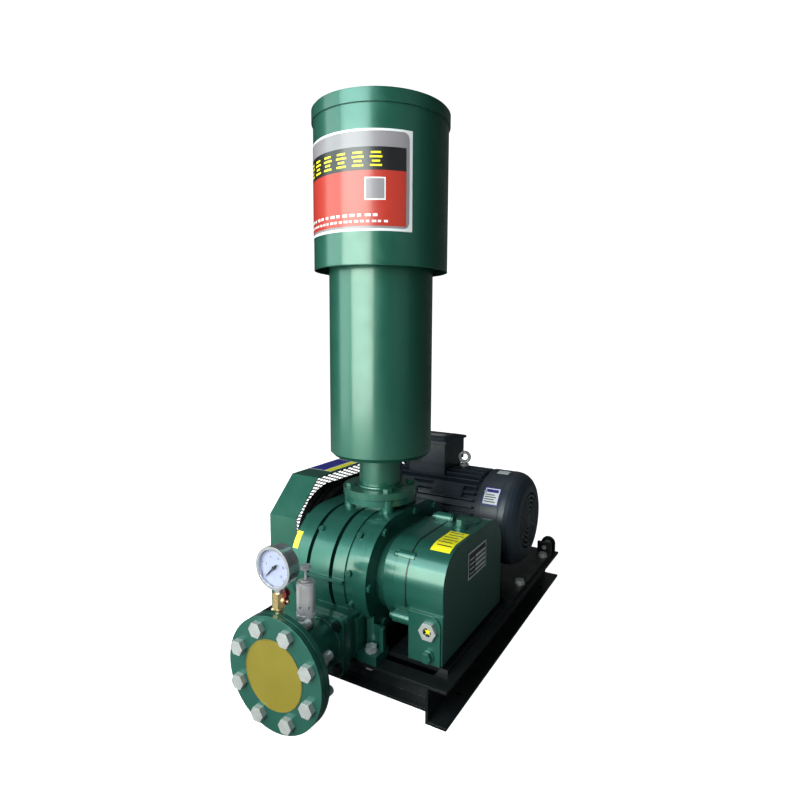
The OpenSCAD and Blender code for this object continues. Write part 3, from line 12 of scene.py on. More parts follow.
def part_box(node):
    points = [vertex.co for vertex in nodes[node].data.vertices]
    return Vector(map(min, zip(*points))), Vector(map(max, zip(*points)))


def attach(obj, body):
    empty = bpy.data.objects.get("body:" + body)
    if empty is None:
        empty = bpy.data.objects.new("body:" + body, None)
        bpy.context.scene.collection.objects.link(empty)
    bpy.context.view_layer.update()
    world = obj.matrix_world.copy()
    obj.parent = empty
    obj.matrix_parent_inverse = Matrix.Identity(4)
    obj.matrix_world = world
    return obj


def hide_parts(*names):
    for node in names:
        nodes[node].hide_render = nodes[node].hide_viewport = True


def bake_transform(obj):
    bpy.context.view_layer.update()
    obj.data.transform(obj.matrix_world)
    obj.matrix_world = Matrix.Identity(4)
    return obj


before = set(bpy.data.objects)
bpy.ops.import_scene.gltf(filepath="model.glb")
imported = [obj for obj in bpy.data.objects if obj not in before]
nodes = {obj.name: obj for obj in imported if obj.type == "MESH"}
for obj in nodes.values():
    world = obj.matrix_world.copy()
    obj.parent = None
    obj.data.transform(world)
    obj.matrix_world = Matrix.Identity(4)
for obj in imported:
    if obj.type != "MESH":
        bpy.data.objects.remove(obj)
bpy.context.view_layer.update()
scene = bpy.context.scene

# Driving sizes, in metres, in the frame of the CAD part
PORT_X, BLOWER_Y, SHAFT_Z = -0.004, -0.186, 0.210
DRIVE_Y, DRIVEN_Y = -0.131, -0.241
CASE_R, COVER_X = 0.084, 0.213
SHOULDER_R, SHOULDER_Y, SEAM_X, BAND_R = 0.066, -0.259, 0.138, 0.1086
OUTLET_Z, FRONT_Y = 0.113, -0.5095
BOLT_CIRCLE_R, BOLT_STEP, FLANGE_BOLTS = 0.08, 45, 8
CAP_R, CAP_Z, CAP_TOP = 0.132, 0.793, 1.094
BODY_Z, NECK_R, INLET_Z = 0.425, 0.0445, 0.359
GAUGE_X, GAUGE_Y, GAUGE_Z, GAUGE_R = -0.014, -0.482, 0.289, 0.0365
MOTOR_Y, MOTOR_Z, COWL_R, COWL_X0 = 0.116, 0.230, 0.111, 0.128
GUARD_X0, GUARD_TOP, GUARD_FOOT = -0.195, 0.368, 0.083
GUARD_FRONT, GUARD_BACK, GUARD_SLOPE = -0.313, 0.251, 0.070
RAIL_X, ROD_X = 0.195, 0.208

# Height of each film of a label above the surface that carries it
FILM_1, FILM_2, FILM_3, FILM_4, FILM_5 = 0.0004, 0.0006, 0.0008, 0.0010, 0.0012
OVERPRINT = 0.0002

# Camera solved from the photograph: angles in degrees, eye in metres, picture sizes in pixels
VIEW_AZIMUTH, VIEW_ELEVATION, VIEW_ROLL = 29.114, 6.355, 0.509
EYE = (0.6167, -1.1485, 0.6763)
PICTURE_PX, FOCAL_PX, CENTRE_PX = 800.0, 559.31, (417.05, 393.67)
SENSOR_MM = 36.0

# Stage: the frame's footprint, where a shadow is painted on the floor, and the sweep of the sheet behind it
PAINTED_SHADOW_HALF_X, PAINTED_SHADOW_HALF_Y = 0.233, 0.300
SHEET_HALF_X, SHEET_FRONT, SHEET_BEND_Y, SHEET_BEND_R, SHEET_BACK, SHEET_TOP = 24, -6.0, 5.0, 3.0, 8.0, 16.0
SHEET_DROP, SHEET_STEPS = 0.0006, 12


# ---------------------------------------------------------------- camera and stage
def camera():
    """The photograph's own view."""
    az, el, roll = math.radians(VIEW_AZIMUTH), math.radians(VIEW_ELEVATION), math.radians(VIEW_ROLL)
    look = Vector((-math.sin(az) * math.cos(el), math.cos(az) * math.cos(el), -math.sin(el)))
    right = look.cross(Vector((0, 0, 1))).normalized()
    up = right.cross(look)
    r = math.cos(roll) * right + math.sin(roll) * up
    u = -math.sin(roll) * right + math.cos(roll) * up
    data = bpy.data.cameras.new("camera")
    data.sensor_width = SENSOR_MM
    data.lens = FOCAL_PX * SENSOR_MM / PICTURE_PX
    data.shift_x = (PICTURE_PX / 2 - CENTRE_PX[0]) / PICTURE_PX
    data.shift_y = (CENTRE_PX[1] - PICTURE_PX / 2) / PICTURE_PX
    data.clip_start, data.clip_end = 0.01, 60.0
    cam = bpy.data.objects.new("camera", data)
    scene.collection.objects.link(cam)
    m = Matrix((r, u, -look)).transposed().to_4x4()
    m.translation = Vector(EYE)
    cam.matrix_world = m
    scene.camera = cam


def node_tree(name):
    """A new material, its node tree and its Principled node."""
    m = bpy.data.materials.new(name)
    m.use_nodes = True
    t = m.node_tree
    return m, t, t.nodes["Principled BSDF"]


def feed(t, value, socket):
    """Give an input either another node's output or a plain value."""
    if isinstance(value, bpy.types.NodeSocket):
        t.links.new(value, socket)
    else:
        socket.default_value = value


def noise(t, vector, scale, detail):
    n = t.nodes.new("ShaderNodeTexNoise")
    n.inputs["Scale"].default_value = scale
    n.inputs["Detail"].default_value = detail
    t.links.new(vector, n.inputs["Vector"])
    return n.outputs["Fac"]


def mixed(t, factor, first, second, kind="MIX"):
    n = t.nodes.new("ShaderNodeMixRGB")
    n.blend_type = kind
    for k, value in enumerate((factor, first, second)):
        feed(t, value, n.inputs[k])
    return n.outputs[0]


def maths(t, kind, *values):
    n = t.nodes.new("ShaderNodeMath")
    n.operation = kind
    for k, value in enumerate(values):
        feed(t, value, n.inputs[k])
    return n.outputs[0]


def ranged(t, value, from_min, from_max, to_min=0.0, to_max=1.0, kind="LINEAR"):
    n = t.nodes.new("ShaderNodeMapRange")
    n.interpolation_type = kind
    n.inputs["From Min"].default_value = from_min
    n.inputs["From Max"].default_value = from_max
    n.inputs["To Min"].default_value = to_min
    n.inputs["To Max"].default_value = to_max
    t.links.new(value, n.inputs["Value"])
    return n.outputs[0]


def world_and_lights():
    """White to the camera, a dim studio for every other ray, and five area lamps."""
    w = bpy.data.worlds.new("studio")
    scene.world = w
    w.use_nodes = True
    t = w.node_tree
    bg = t.nodes["Background"]
    path = t.nodes.new("ShaderNodeLightPath")
    coord = t.nodes.new("ShaderNodeTexCoord")
    sep = t.nodes.new("ShaderNodeSeparateXYZ")
    ramp = t.nodes.new("ShaderNodeValToRGB")
    t.links.new(coord.outputs["Generated"], sep.inputs[0])
    t.links.new(sep.outputs["Z"], ramp.inputs[0])
    low, high = ramp.color_ramp.elements
    low.position, low.color = 0.0, (0.030, 0.032, 0.034, 1)
    high.position, high.color = 0.9, (0.085, 0.090, 0.096, 1)
    t.links.new(mixed(t, path.outputs["Is Camera Ray"], ramp.outputs[0], (1, 1, 1, 1)), bg.inputs["Color"])
    bg.inputs["Strength"].default_value = 1.0

    def area(name, loc, aim, size, power, tint=(1, 1, 1)):
        d = bpy.data.lights.new(name, "AREA")
        d.shape = "RECTANGLE"
        d.size, d.size_y = size
        d.energy = power
        d.color = tint
        o = bpy.data.objects.new(name, d)
        o.location = loc
        o.rotation_euler = (Vector(aim) - Vector(loc)).to_track_quat("-Z", "Y").to_euler()
        scene.collection.objects.link(o)

    aim = (0, -0.18, 0.50)
    area("key", (-0.42, -2.86, 0.92), aim, (2.5, 1.75), 108, (1.0, 1.0, 0.90))
    area("sky", (-0.42, -2.60, 2.45), aim, (2.5, 1.75), 70, (0.76, 0.97, 1.0))
    area("side", (-2.28, -1.86, 1.00), aim, (1.45, 2.3), 30, (0.80, 1.0, 0.95))
    area("top", (-0.3, 0.2, 2.8), aim, (1.2, 1.2), 2.5, (0.95, 0.98, 1.0))
    area("right", (2.6, -0.9, 1.2), aim, (1.8, 1.8), 1.6, (0.95, 0.98, 1.0))


def stage():
    """A white sheet swept up behind the object: white to the camera except for a painted shadow over the
    frame's footprint, and a dim studio floor in reflections, with painted shade darkening it towards the
    frame.
    """
    bm = bmesh.new()
    bend = []
    for i in range(SHEET_STEPS + 1):
        a = math.radians(i * 90 / SHEET_STEPS)
        bend.append((SHEET_BEND_Y + SHEET_BEND_R * math.sin(a), SHEET_BEND_R - SHEET_BEND_R * math.cos(a)))
    line = [(SHEET_FRONT, 0.0)] + bend + [(SHEET_BACK, SHEET_TOP)]
    left = [bm.verts.new((-SHEET_HALF_X, y, z - SHEET_DROP)) for y, z in line]
    right = [bm.verts.new((SHEET_HALF_X, y, z - SHEET_DROP)) for y, z in line]
    for i in range(len(line) - 1):
        bm.faces.new((left[i], right[i], right[i + 1], left[i + 1]))
    me = bpy.data.meshes.new("stage_floor")
    bm.to_mesh(me)
    bm.free()
    me.polygons.foreach_set("use_smooth", [True] * len(me.polygons))
    o = bpy.data.objects.new("stage_floor", me)
    scene.collection.objects.link(o)
    m, t, p = node_tree("floor_paper_painted_shadow")
    coord = t.nodes.new("ShaderNodeTexCoord")
    sep = t.nodes.new("ShaderNodeSeparateXYZ")
    t.links.new(coord.outputs["Object"], sep.inputs[0])

    def away(axis, at):
        """Distance outside the frame's footprint, the edge of the painted shadow, along one axis."""
        return maths(t, "SUBTRACT", maths(t, "ABSOLUTE", sep.outputs[axis]), at)

    far = maths(t, "MAXIMUM", away("X", PAINTED_SHADOW_HALF_X), away("Y", PAINTED_SHADOW_HALF_Y))
    # Painted shadow: inside the frame's footprint the floor is dark to the camera and does not glow.
    outside_painted_shadow = ranged(t, far, -0.012, 0.0)
    # Painted shade: in reflections the floor darkens towards the frame.
    painted_shade_fade = ranged(t, far, -0.05, 0.60, kind="SMOOTHSTEP")
    mirrored_with_painted_shade = mixed(t, painted_shade_fade, (0.03, 0.032, 0.034, 1), (0.36, 0.37, 0.36, 1))
    seen_with_painted_shadow = mixed(t, outside_painted_shadow, (0.012, 0.014, 0.016, 1), (0.80, 0.80, 0.80, 1))
    camera_ray = t.nodes.new("ShaderNodeLightPath").outputs["Is Camera Ray"]
    t.links.new(mixed(t, camera_ray, mirrored_with_painted_shade, seen_with_painted_shadow), p.inputs["Base Color"])
    t.links.new(maths(t, "MULTIPLY", outside_painted_shadow, camera_ray), p.inputs["Emission Strength"])
    p.inputs["Emission Color"].default_value = (1, 1, 1, 1)
    p.inputs["Roughness"].default_value = 0.9
    p.inputs["Specular IOR Level"].default_value = 0.0
    me.materials.append(m)


camera()
world_and_lights()
stage()


# ---------------------------------------------------------------- materials
def finish_of(name, dark, light, metallic=0.0, rough=0.4, coat=0.0, grain=9.0, peel=0.0, peel_scale=260.0,
              fleck=0.0, brushed=None, edge=0.0006, dust=0.0, spread=0.08, film=0.12):
    """A painted, metal or plastic surface.

    Its colour drifts between dark and light. fleck adds metal flakes, and dust settles on faces that look up.
    spread is the unevenness of the sheen, film the coat's roughness, edge the radius of the rounded edges, and
    peel the strength of the fine bump.
    """
    m, t, p = node_tree(name)
    place = t.nodes.new("ShaderNodeTexCoord").outputs["Object"]
    colour = mixed(t, noise(t, place, grain, 6.0), (*dark, 1), (*light, 1))
    if fleck > 0:
        cells = t.nodes.new("ShaderNodeTexVoronoi")
        cells.inputs["Scale"].default_value = 1500.0
        t.links.new(place, cells.inputs["Vector"])
        bright = (light[0] * 1.5, light[1] * 1.5, light[2] * 1.5, 1)
        colour = mixed(t, fleck, colour, mixed(t, 1.0, cells.outputs["Color"], bright, "MULTIPLY"), "ADD")
    if dust > 0:
        geo = t.nodes.new("ShaderNodeNewGeometry")
        sep = t.nodes.new("ShaderNodeSeparateXYZ")
        t.links.new(geo.outputs["Normal"], sep.inputs[0])
        up = ranged(t, sep.outputs["Z"], 0.6, 1.0, 0.0, dust)
        settled = maths(t, "MULTIPLY", up, noise(t, place, 22.0, 8.0))
        colour = mixed(t, settled, colour, (0.30, 0.32, 0.31, 1))
    t.links.new(colour, p.inputs["Base Color"])
    p.inputs["Metallic"].default_value = metallic
    wear = noise(t, place, 34.0, 5.0)
    t.links.new(ranged(t, wear, 0.3, 0.7, max(0.03, rough - spread), rough + spread), p.inputs["Roughness"])
    p.inputs["Coat Weight"].default_value = coat
    p.inputs["Coat Roughness"].default_value = film
    round_edge = t.nodes.new("ShaderNodeBevel")
    round_edge.samples = 4
    round_edge.inputs["Radius"].default_value = edge
    normal = round_edge.outputs[0]
    if peel > 0 or brushed:
        grit_place = place
        if brushed:
            stretch = t.nodes.new("ShaderNodeMapping")
            stretch.inputs["Scale"].default_value = brushed
            t.links.new(place, stretch.inputs["Vector"])
            grit_place = stretch.outputs[0]
        bump = t.nodes.new("ShaderNodeBump")
        bump.inputs["Strength"].default_value = peel
        bump.inputs["Distance"].default_value = 0.0004
        t.links.new(noise(t, grit_place, peel_scale, 3.0), bump.inputs["Height"])
        t.links.new(normal, bump.inputs["Normal"])
        normal = bump.outputs[0]
    t.links.new(normal, p.inputs["Normal"])
    return m


# Name, dark and light colour, metallic, roughness, coat, grain, peel, peel scale, fleck
GREEN = finish_of("green_metallic", (0.012, 0.092, 0.064), (0.017, 0.116, 0.082),
                  0.42, 0.36, 0.85, 7.0, 0.03, 240.0, 0.04, dust=0.05, film=0.17)
CAST = finish_of("green_casting", (0.012, 0.092, 0.070), (0.022, 0.138, 0.106),
                 0.50, 0.32, 0.65, 16.0, 0.0, 260.0, 0.0, edge=0.0016, dust=0.04, spread=0.02, film=0.13)
COVER = finish_of("green_cover", (0.011, 0.088, 0.066), (0.019, 0.120, 0.092),
                  0.42, 0.32, 0.60, 14.0, 0.0, 260.0, 0.0, edge=0.0022, dust=0.04, spread=0.02, film=0.15)
BLACK = finish_of("black_frame", (0.0030, 0.0044, 0.0056), (0.0066, 0.0090, 0.0110),
                  0.0, 0.34, 0.2, 12.0, 0.12, 180.0, edge=0.0008, dust=0.03, film=0.22)
MOTOR = finish_of("motor_enamel", (0.012, 0.019, 0.031), (0.022, 0.033, 0.052),
                  0.15, 0.44, 0.25, 12.0, 0.24, 190.0, edge=0.0010, dust=0.14, film=0.3)
ZINC = finish_of("zinc_bolts", (0.36, 0.37, 0.38), (0.50, 0.51, 0.52),
                 0.45, 0.36, 0.0, 90.0, 0.15, 400.0, edge=0.0006)
STEEL = finish_of("machined_steel", (0.38, 0.39, 0.40), (0.55, 0.56, 0.57),
                  1.0, 0.30, 0.0, 40.0, 0.2, 300.0, brushed=(40.0, 1.0, 1.0))
CHROME = finish_of("chrome_plate", (0.55, 0.55, 0.60), (0.68, 0.68, 0.73),
                   0.80, 0.20, 0.2, 50.0, 0.06, 420.0, edge=0.0006, spread=0.06)
SATIN = finish_of("satin_steel", (0.74, 0.71, 0.78), (0.86, 0.83, 0.90),
                  0.32, 0.32, 0.2, 50.0, 0.03, 420.0, edge=0.0006, spread=0.04)
IRON = finish_of("cast_rotor", (0.20, 0.205, 0.21), (0.32, 0.325, 0.33), 0.9, 0.42, 0.0, 30.0, 0.2, 200.0)
PULLEY = finish_of("pulley_iron", (0.020, 0.021, 0.023), (0.045, 0.047, 0.050),
                   0.6, 0.42, 0.0, 30.0, 0.2, 220.0)
RUBBER = finish_of("belt_rubber", (0.010, 0.010, 0.010), (0.022, 0.022, 0.022),
                   0.0, 0.65, 0.0, 60.0, 0.3, 500.0)
GASKET = finish_of("gasket_sheet", (0.060, 0.060, 0.055), (0.10, 0.10, 0.09), 0.0, 0.8, 0.0, 60.0, 0.3, 400.0)
BRASS = finish_of("brass", (0.50, 0.34, 0.15), (0.66, 0.48, 0.26), 0.72, 0.26, 0.1, 60.0, 0.05, 320.0)
RED = finish_of("red_enamel", (0.105, 0.005, 0.008), (0.155, 0.009, 0.013), 0.0, 0.34, 0.2, 40.0)
GOLD = finish_of("yellow_disc", (0.20, 0.155, 0.016), (0.26, 0.205, 0.024),
                 0.25, 0.40, 0.18, 24.0, 0.08, 260.0, spread=0.06, film=0.28)
DIAL = finish_of("dial_white", (0.36, 0.38, 0.54), (0.42, 0.44, 0.60), 0.0, 0.55, 0.0, 40.0)
FAN = finish_of("fan_plastic", (0.015, 0.015, 0.017), (0.026, 0.026, 0.029), 0.0, 0.5, 0.0, 40.0)
WHITE = finish_of("sticker_white", (0.66, 0.68, 0.72), (0.74, 0.76, 0.80), 0.0, 0.35, 0.2, 20.0, spread=0.05)
BLUE = finish_of("sticker_blue", (0.022, 0.020, 0.20), (0.034, 0.032, 0.27),
                 0.0, 0.35, 0.2, 20.0, spread=0.05)
YELLOW = finish_of("sticker_yellow", (0.82, 0.70, 0.010), (0.92, 0.82, 0.030),
                   0.0, 0.38, 0.2, 20.0, spread=0.05)
REDFILM = finish_of("label_red", (0.38, 0.026, 0.017), (0.45, 0.038, 0.026),
                    0.0, 0.32, 0.40, 6.0, spread=0.04, film=0.18)
GREYFILM = finish_of("label_grey", (0.22, 0.200, 0.225), (0.27, 0.25, 0.28),
                     0.0, 0.34, 0.30, 8.0, spread=0.04, film=0.18)
DARKFILM = finish_of("label_dark", (0.008, 0.008, 0.009), (0.014, 0.014, 0.016),
                     0.0, 0.32, 0.4, 8.0, spread=0.04, film=0.20)
INK = finish_of("print_black", (0.010, 0.010, 0.012), (0.020, 0.020, 0.022), 0.0, 0.5, 0.0, 20.0)
PLATE = finish_of("plate_silver", (0.62, 0.64, 0.65), (0.78, 0.80, 0.81),
                  0.20, 0.40, 0.0, 60.0, 0.2, 260.0, brushed=(1.0, 60.0, 1.0))
RELIEF = finish_of("plate_dark", (0.016, 0.020, 0.026), (0.028, 0.034, 0.042),
                   0.3, 0.40, 0.2, 60.0, 0.2, 260.0)
PINK = finish_of("label_pale", (0.42, 0.36, 0.37), (0.52, 0.46, 0.47), 0.0, 0.45, 0.1, 30.0)


def glass(name, tint):
    """Thin clear glass with the faintest ripple."""
    m, t, p = node_tree(name)
    p.inputs["Base Color"].default_value = (*tint, 1)
    p.inputs["Roughness"].default_value = 0.03
    p.inputs["Transmission Weight"].default_value = 1.0
    p.inputs["IOR"].default_value = 1.12
    n = t.nodes.new("ShaderNodeTexNoise")
    n.inputs["Scale"].default_value = 60.0
    b = t.nodes.new("ShaderNodeBump")
    b.inputs["Strength"].default_value = 0.01
    t.links.new(n.outputs["Fac"], b.inputs["Height"])
    t.links.new(b.outputs[0], p.inputs["Normal"])
    return m


GLASS = glass("clear_glass", (0.96, 0.97, 1.0))

LOOK = {
    GREEN: ["silencer_body", "silencer_cap", "silencer_lid", "inlet_bolts", "guard_rim"],
    CAST: ["rotor_casing", "drive_headplate", "gear_headplate", "drive_end_covers", "discharge_pipe",
           "companion_flange"],
    COVER: ["gear_case", "gear_cover", "filler_plug", "drain_plug", "cover_bolts", "headplate_bolts"],
    BLACK: ["side_rails", "cross_channels", "bearing_plate", "slide_base", "square_flange_bolts",
            "gauge_needle"],
    MOTOR: ["motor_frame", "motor_end_shields", "fan_cowl", "terminal_box", "terminal_lid"],
    ZINC: ["flange_bolts", "tension_rods", "sight_glass_nut", "lifting_eye", "base_bolts", "motor_bolts"],
    CHROME: ["gauge_case"],
    SATIN: ["relief_body", "relief_stem"],
    STEEL: ["drive_shaft", "driven_shaft", "shaft_bearings", "drive_timing_gear", "driven_timing_gear",
            "silencer_core", "relief_spring", "motor_rotor"],
    IRON: ["drive_rotor", "driven_rotor"],
    PULLEY: ["blower_pulley", "motor_pulley"],
    RUBBER: ["drive_belts", "shaft_seals"],
    GASKET: ["port_gaskets"],
    BRASS: ["gauge_cock"],
    RED: ["cock_lever"],
    GOLD: ["cover_disc"],
    DIAL: ["gauge_dial"],
    FAN: ["motor_fan"],
    GLASS: ["gauge_glass", "sight_glass"],
}
for mat, names in LOOK.items():
    for name in names:
        o = nodes[name]
        if not o.material_slots:
            o.data.materials.append(mat)
        for s in o.material_slots:
            s.material = mat


# ---------------------------------------------------------------- building pieces
def add(name, bm, mat, body, smooth=40.0):
    """Turn a bmesh into a named piece that rides a body; edges sharper than smooth degrees stay sharp."""
    me = bpy.data.meshes.new(name)
    bmesh.ops.recalc_face_normals(bm, faces=bm.faces)
    bm.to_mesh(me)
    bm.free()
    for m in mat if isinstance(mat, (list, tuple)) else [mat]:
        me.materials.append(m)
    o = bpy.data.objects.new(name, me)
    scene.collection.objects.link(o)
    if smooth:
        me.polygons.foreach_set("use_smooth", [True] * len(me.polygons))
        me.set_sharp_from_angle(angle=math.radians(smooth))
    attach(o, body)
    return o


def polar(radius, degrees):
    """The two coordinates of a point on a circle."""
    return radius * math.cos(math.radians(degrees)), radius * math.sin(math.radians(degrees))


def tube_ring(bm, centre, axis, radius, wire, turns=48, sides=8, wobble=0.0, seed=0):
    """A weld bead or wire ring round an axis, with slight ripples along it."""
    axis = Vector(axis).normalized()
    a = axis.orthogonal().normalized()
    b = axis.cross(a)
    rings = []
    for i in range(turns):
        t = 2 * math.pi * i / turns
        out = a * math.cos(t) + b * math.sin(t)
        w = wire * (1 + wobble * math.sin(i * 2.39996 + seed) + 0.5 * wobble * math.sin(i * 5.1 + seed))
        rings.append([bm.verts.new(Vector(centre) + out * (radius + w * math.cos(2 * math.pi * k / sides))
                                   + axis * w * math.sin(2 * math.pi * k / sides)) for k in range(sides)])
    for i in range(turns):
        r, q = rings[i], rings[(i + 1) % turns]
        for k in range(sides):
            bm.faces.new((r[k], q[k], q[(k + 1) % sides], r[(k + 1) % sides]))


def sheet_patch(bm, fn, u0, u1, v0, v1, nu, nv, index=0):
    """A thin film laid on a surface given by fn(u, v)."""
    grid = [[bm.verts.new(fn(u0 + (u1 - u0) * i / nu, v0 + (v1 - v0) * j / nv)) for j in range(nv + 1)]
            for i in range(nu + 1)]
    for i in range(nu):
        for j in range(nv):
            f = bm.faces.new((grid[i][j], grid[i + 1][j], grid[i + 1][j + 1], grid[i][j + 1]))
            f.material_index = index


def rounded_patch(bm, fn, u0, u1, v0, v1, ru, rv, index=0, n=28):
    """A film with round corners: columns whose height follows the corner's arc."""
    corner_steps, rows = 6, 4
    cols = []
    us = [u0 + (u1 - u0) * i / n for i in range(n + 1)]
    extra = [u0 + ru * k / corner_steps for k in range(corner_steps + 1)]
    extra += [u1 - ru * k / corner_steps for k in range(corner_steps + 1)]
    for u in sorted(set(us + extra)):
        d = min(u - u0, u1 - u)
        cut = 0.0
        if d < ru:
            q = 1 - d / ru
            cut = rv * (1 - math.sqrt(max(0.0, 1 - q * q)))
        cols.append((u, v0 + cut, v1 - cut))
    prev = None
    for u, a, b in cols:
        now = [bm.verts.new(fn(u, a + (b - a) * j / rows)) for j in range(rows + 1)]
        if prev:
            for j in range(rows):
                f = bm.faces.new((prev[j], now[j], now[j + 1], prev[j + 1]))
                f.material_index = index
        prev = now


# ---------------------------------------------------------------- silencer
def silencer_details():
    """Label with plain bars in place of its print, weld beads of the neck, and rolled beads of the cap."""
    def on_cap(off):
        """The cap's skin raised by off: angle in degrees, height in metres."""
        r = CAP_R + off
        return lambda a, z: Vector((PORT_X + r * math.cos(math.radians(a)),
                                    BLOWER_Y + r * math.sin(math.radians(a)), z))

    a0, a1, z0, z1 = -146.0, -32.7, 0.852, 1.025
    field_a0, field_a1 = a0 + 3.0, a1 - 5.2
    red_z, dark_z, dark_top = 0.8605, 0.9552, 0.9945
    bm = bmesh.new()
    sheet_patch(bm, on_cap(FILM_1), a0, a1, z0, z1, 48, 2, 0)
    rounded_patch(bm, on_cap(FILM_2), a0 + 2.0, a1 - 2.6, z0 + 0.0045, z1 - 0.0040, 5.0, 0.011, 1)
    sheet_patch(bm, on_cap(FILM_3), field_a0, field_a1, dark_z, dark_top, 44, 2, 2)
    sheet_patch(bm, on_cap(FILM_3), field_a0, field_a1, red_z, dark_z, 44, 2, 3)
    add("silencer_label", bm, [WHITE, GREYFILM, DARKFILM, REDFILM], "base")

    # Six blocks of four bars: width and shift of each bar in degrees
    block_bars = ((7.6, 0.8), (9.4, 0.0), (6.2, 1.6), (9.0, 0.2))
    # Two rows of short bars: top height, bar height, step in degrees, count
    small_rows = ((0.8815, 0.0048, 6.2, 13), (0.8705, 0.0040, 4.6, 19))
    bm = bmesh.new()
    for i in range(6):
        a = a0 + 9.0 + 14.2 * i
        for j, (w, shift) in enumerate(block_bars):
            z = 0.9865 - 0.0072 * j
            sheet_patch(bm, on_cap(FILM_4), a + shift, a + shift + w, z - 0.0034, z, 4, 1, 0)
    for row, (z, h, step, count) in enumerate(small_rows):
        for i in range(count):
            a = a0 + 8.0 + step * i
            w = step * (0.62 + 0.12 * math.sin(2.4 * i + row))
            sheet_patch(bm, on_cap(FILM_4), a, a + w, z - h, z, 2, 1, 1)
    # Bare square with a pale border
    sheet_patch(bm, on_cap(FILM_4), -70.0, -54.0, 0.9045, 0.9435, 6, 2, 1)
    sheet_patch(bm, on_cap(FILM_5), -69.0, -55.0, 0.9070, 0.9410, 6, 2, 2)
    add("silencer_print", bm, [YELLOW, WHITE, GREYFILM], "base")

    up = (0, 0, 1)
    bm = bmesh.new()
    tube_ring(bm, (PORT_X, BLOWER_Y, INLET_Z + 0.0012), up, NECK_R + 0.0012, 0.0030, 96, 8, 0.10, 1)
    tube_ring(bm, (PORT_X, BLOWER_Y, BODY_Z - 0.0002), up, NECK_R + 0.0010, 0.0028, 96, 8, 0.10, 2)
    add("silencer_welds", bm, GREEN, "base")

    bm = bmesh.new()
    tube_ring(bm, (PORT_X, BLOWER_Y, CAP_TOP - 0.0245), up, CAP_R + 0.0006, 0.0008, 128, 8)
    tube_ring(bm, (PORT_X, BLOWER_Y, CAP_Z + 0.0010), up, CAP_R - 0.0008, 0.0012, 128, 8)
    add("silencer_beads", bm, GREEN, "base")


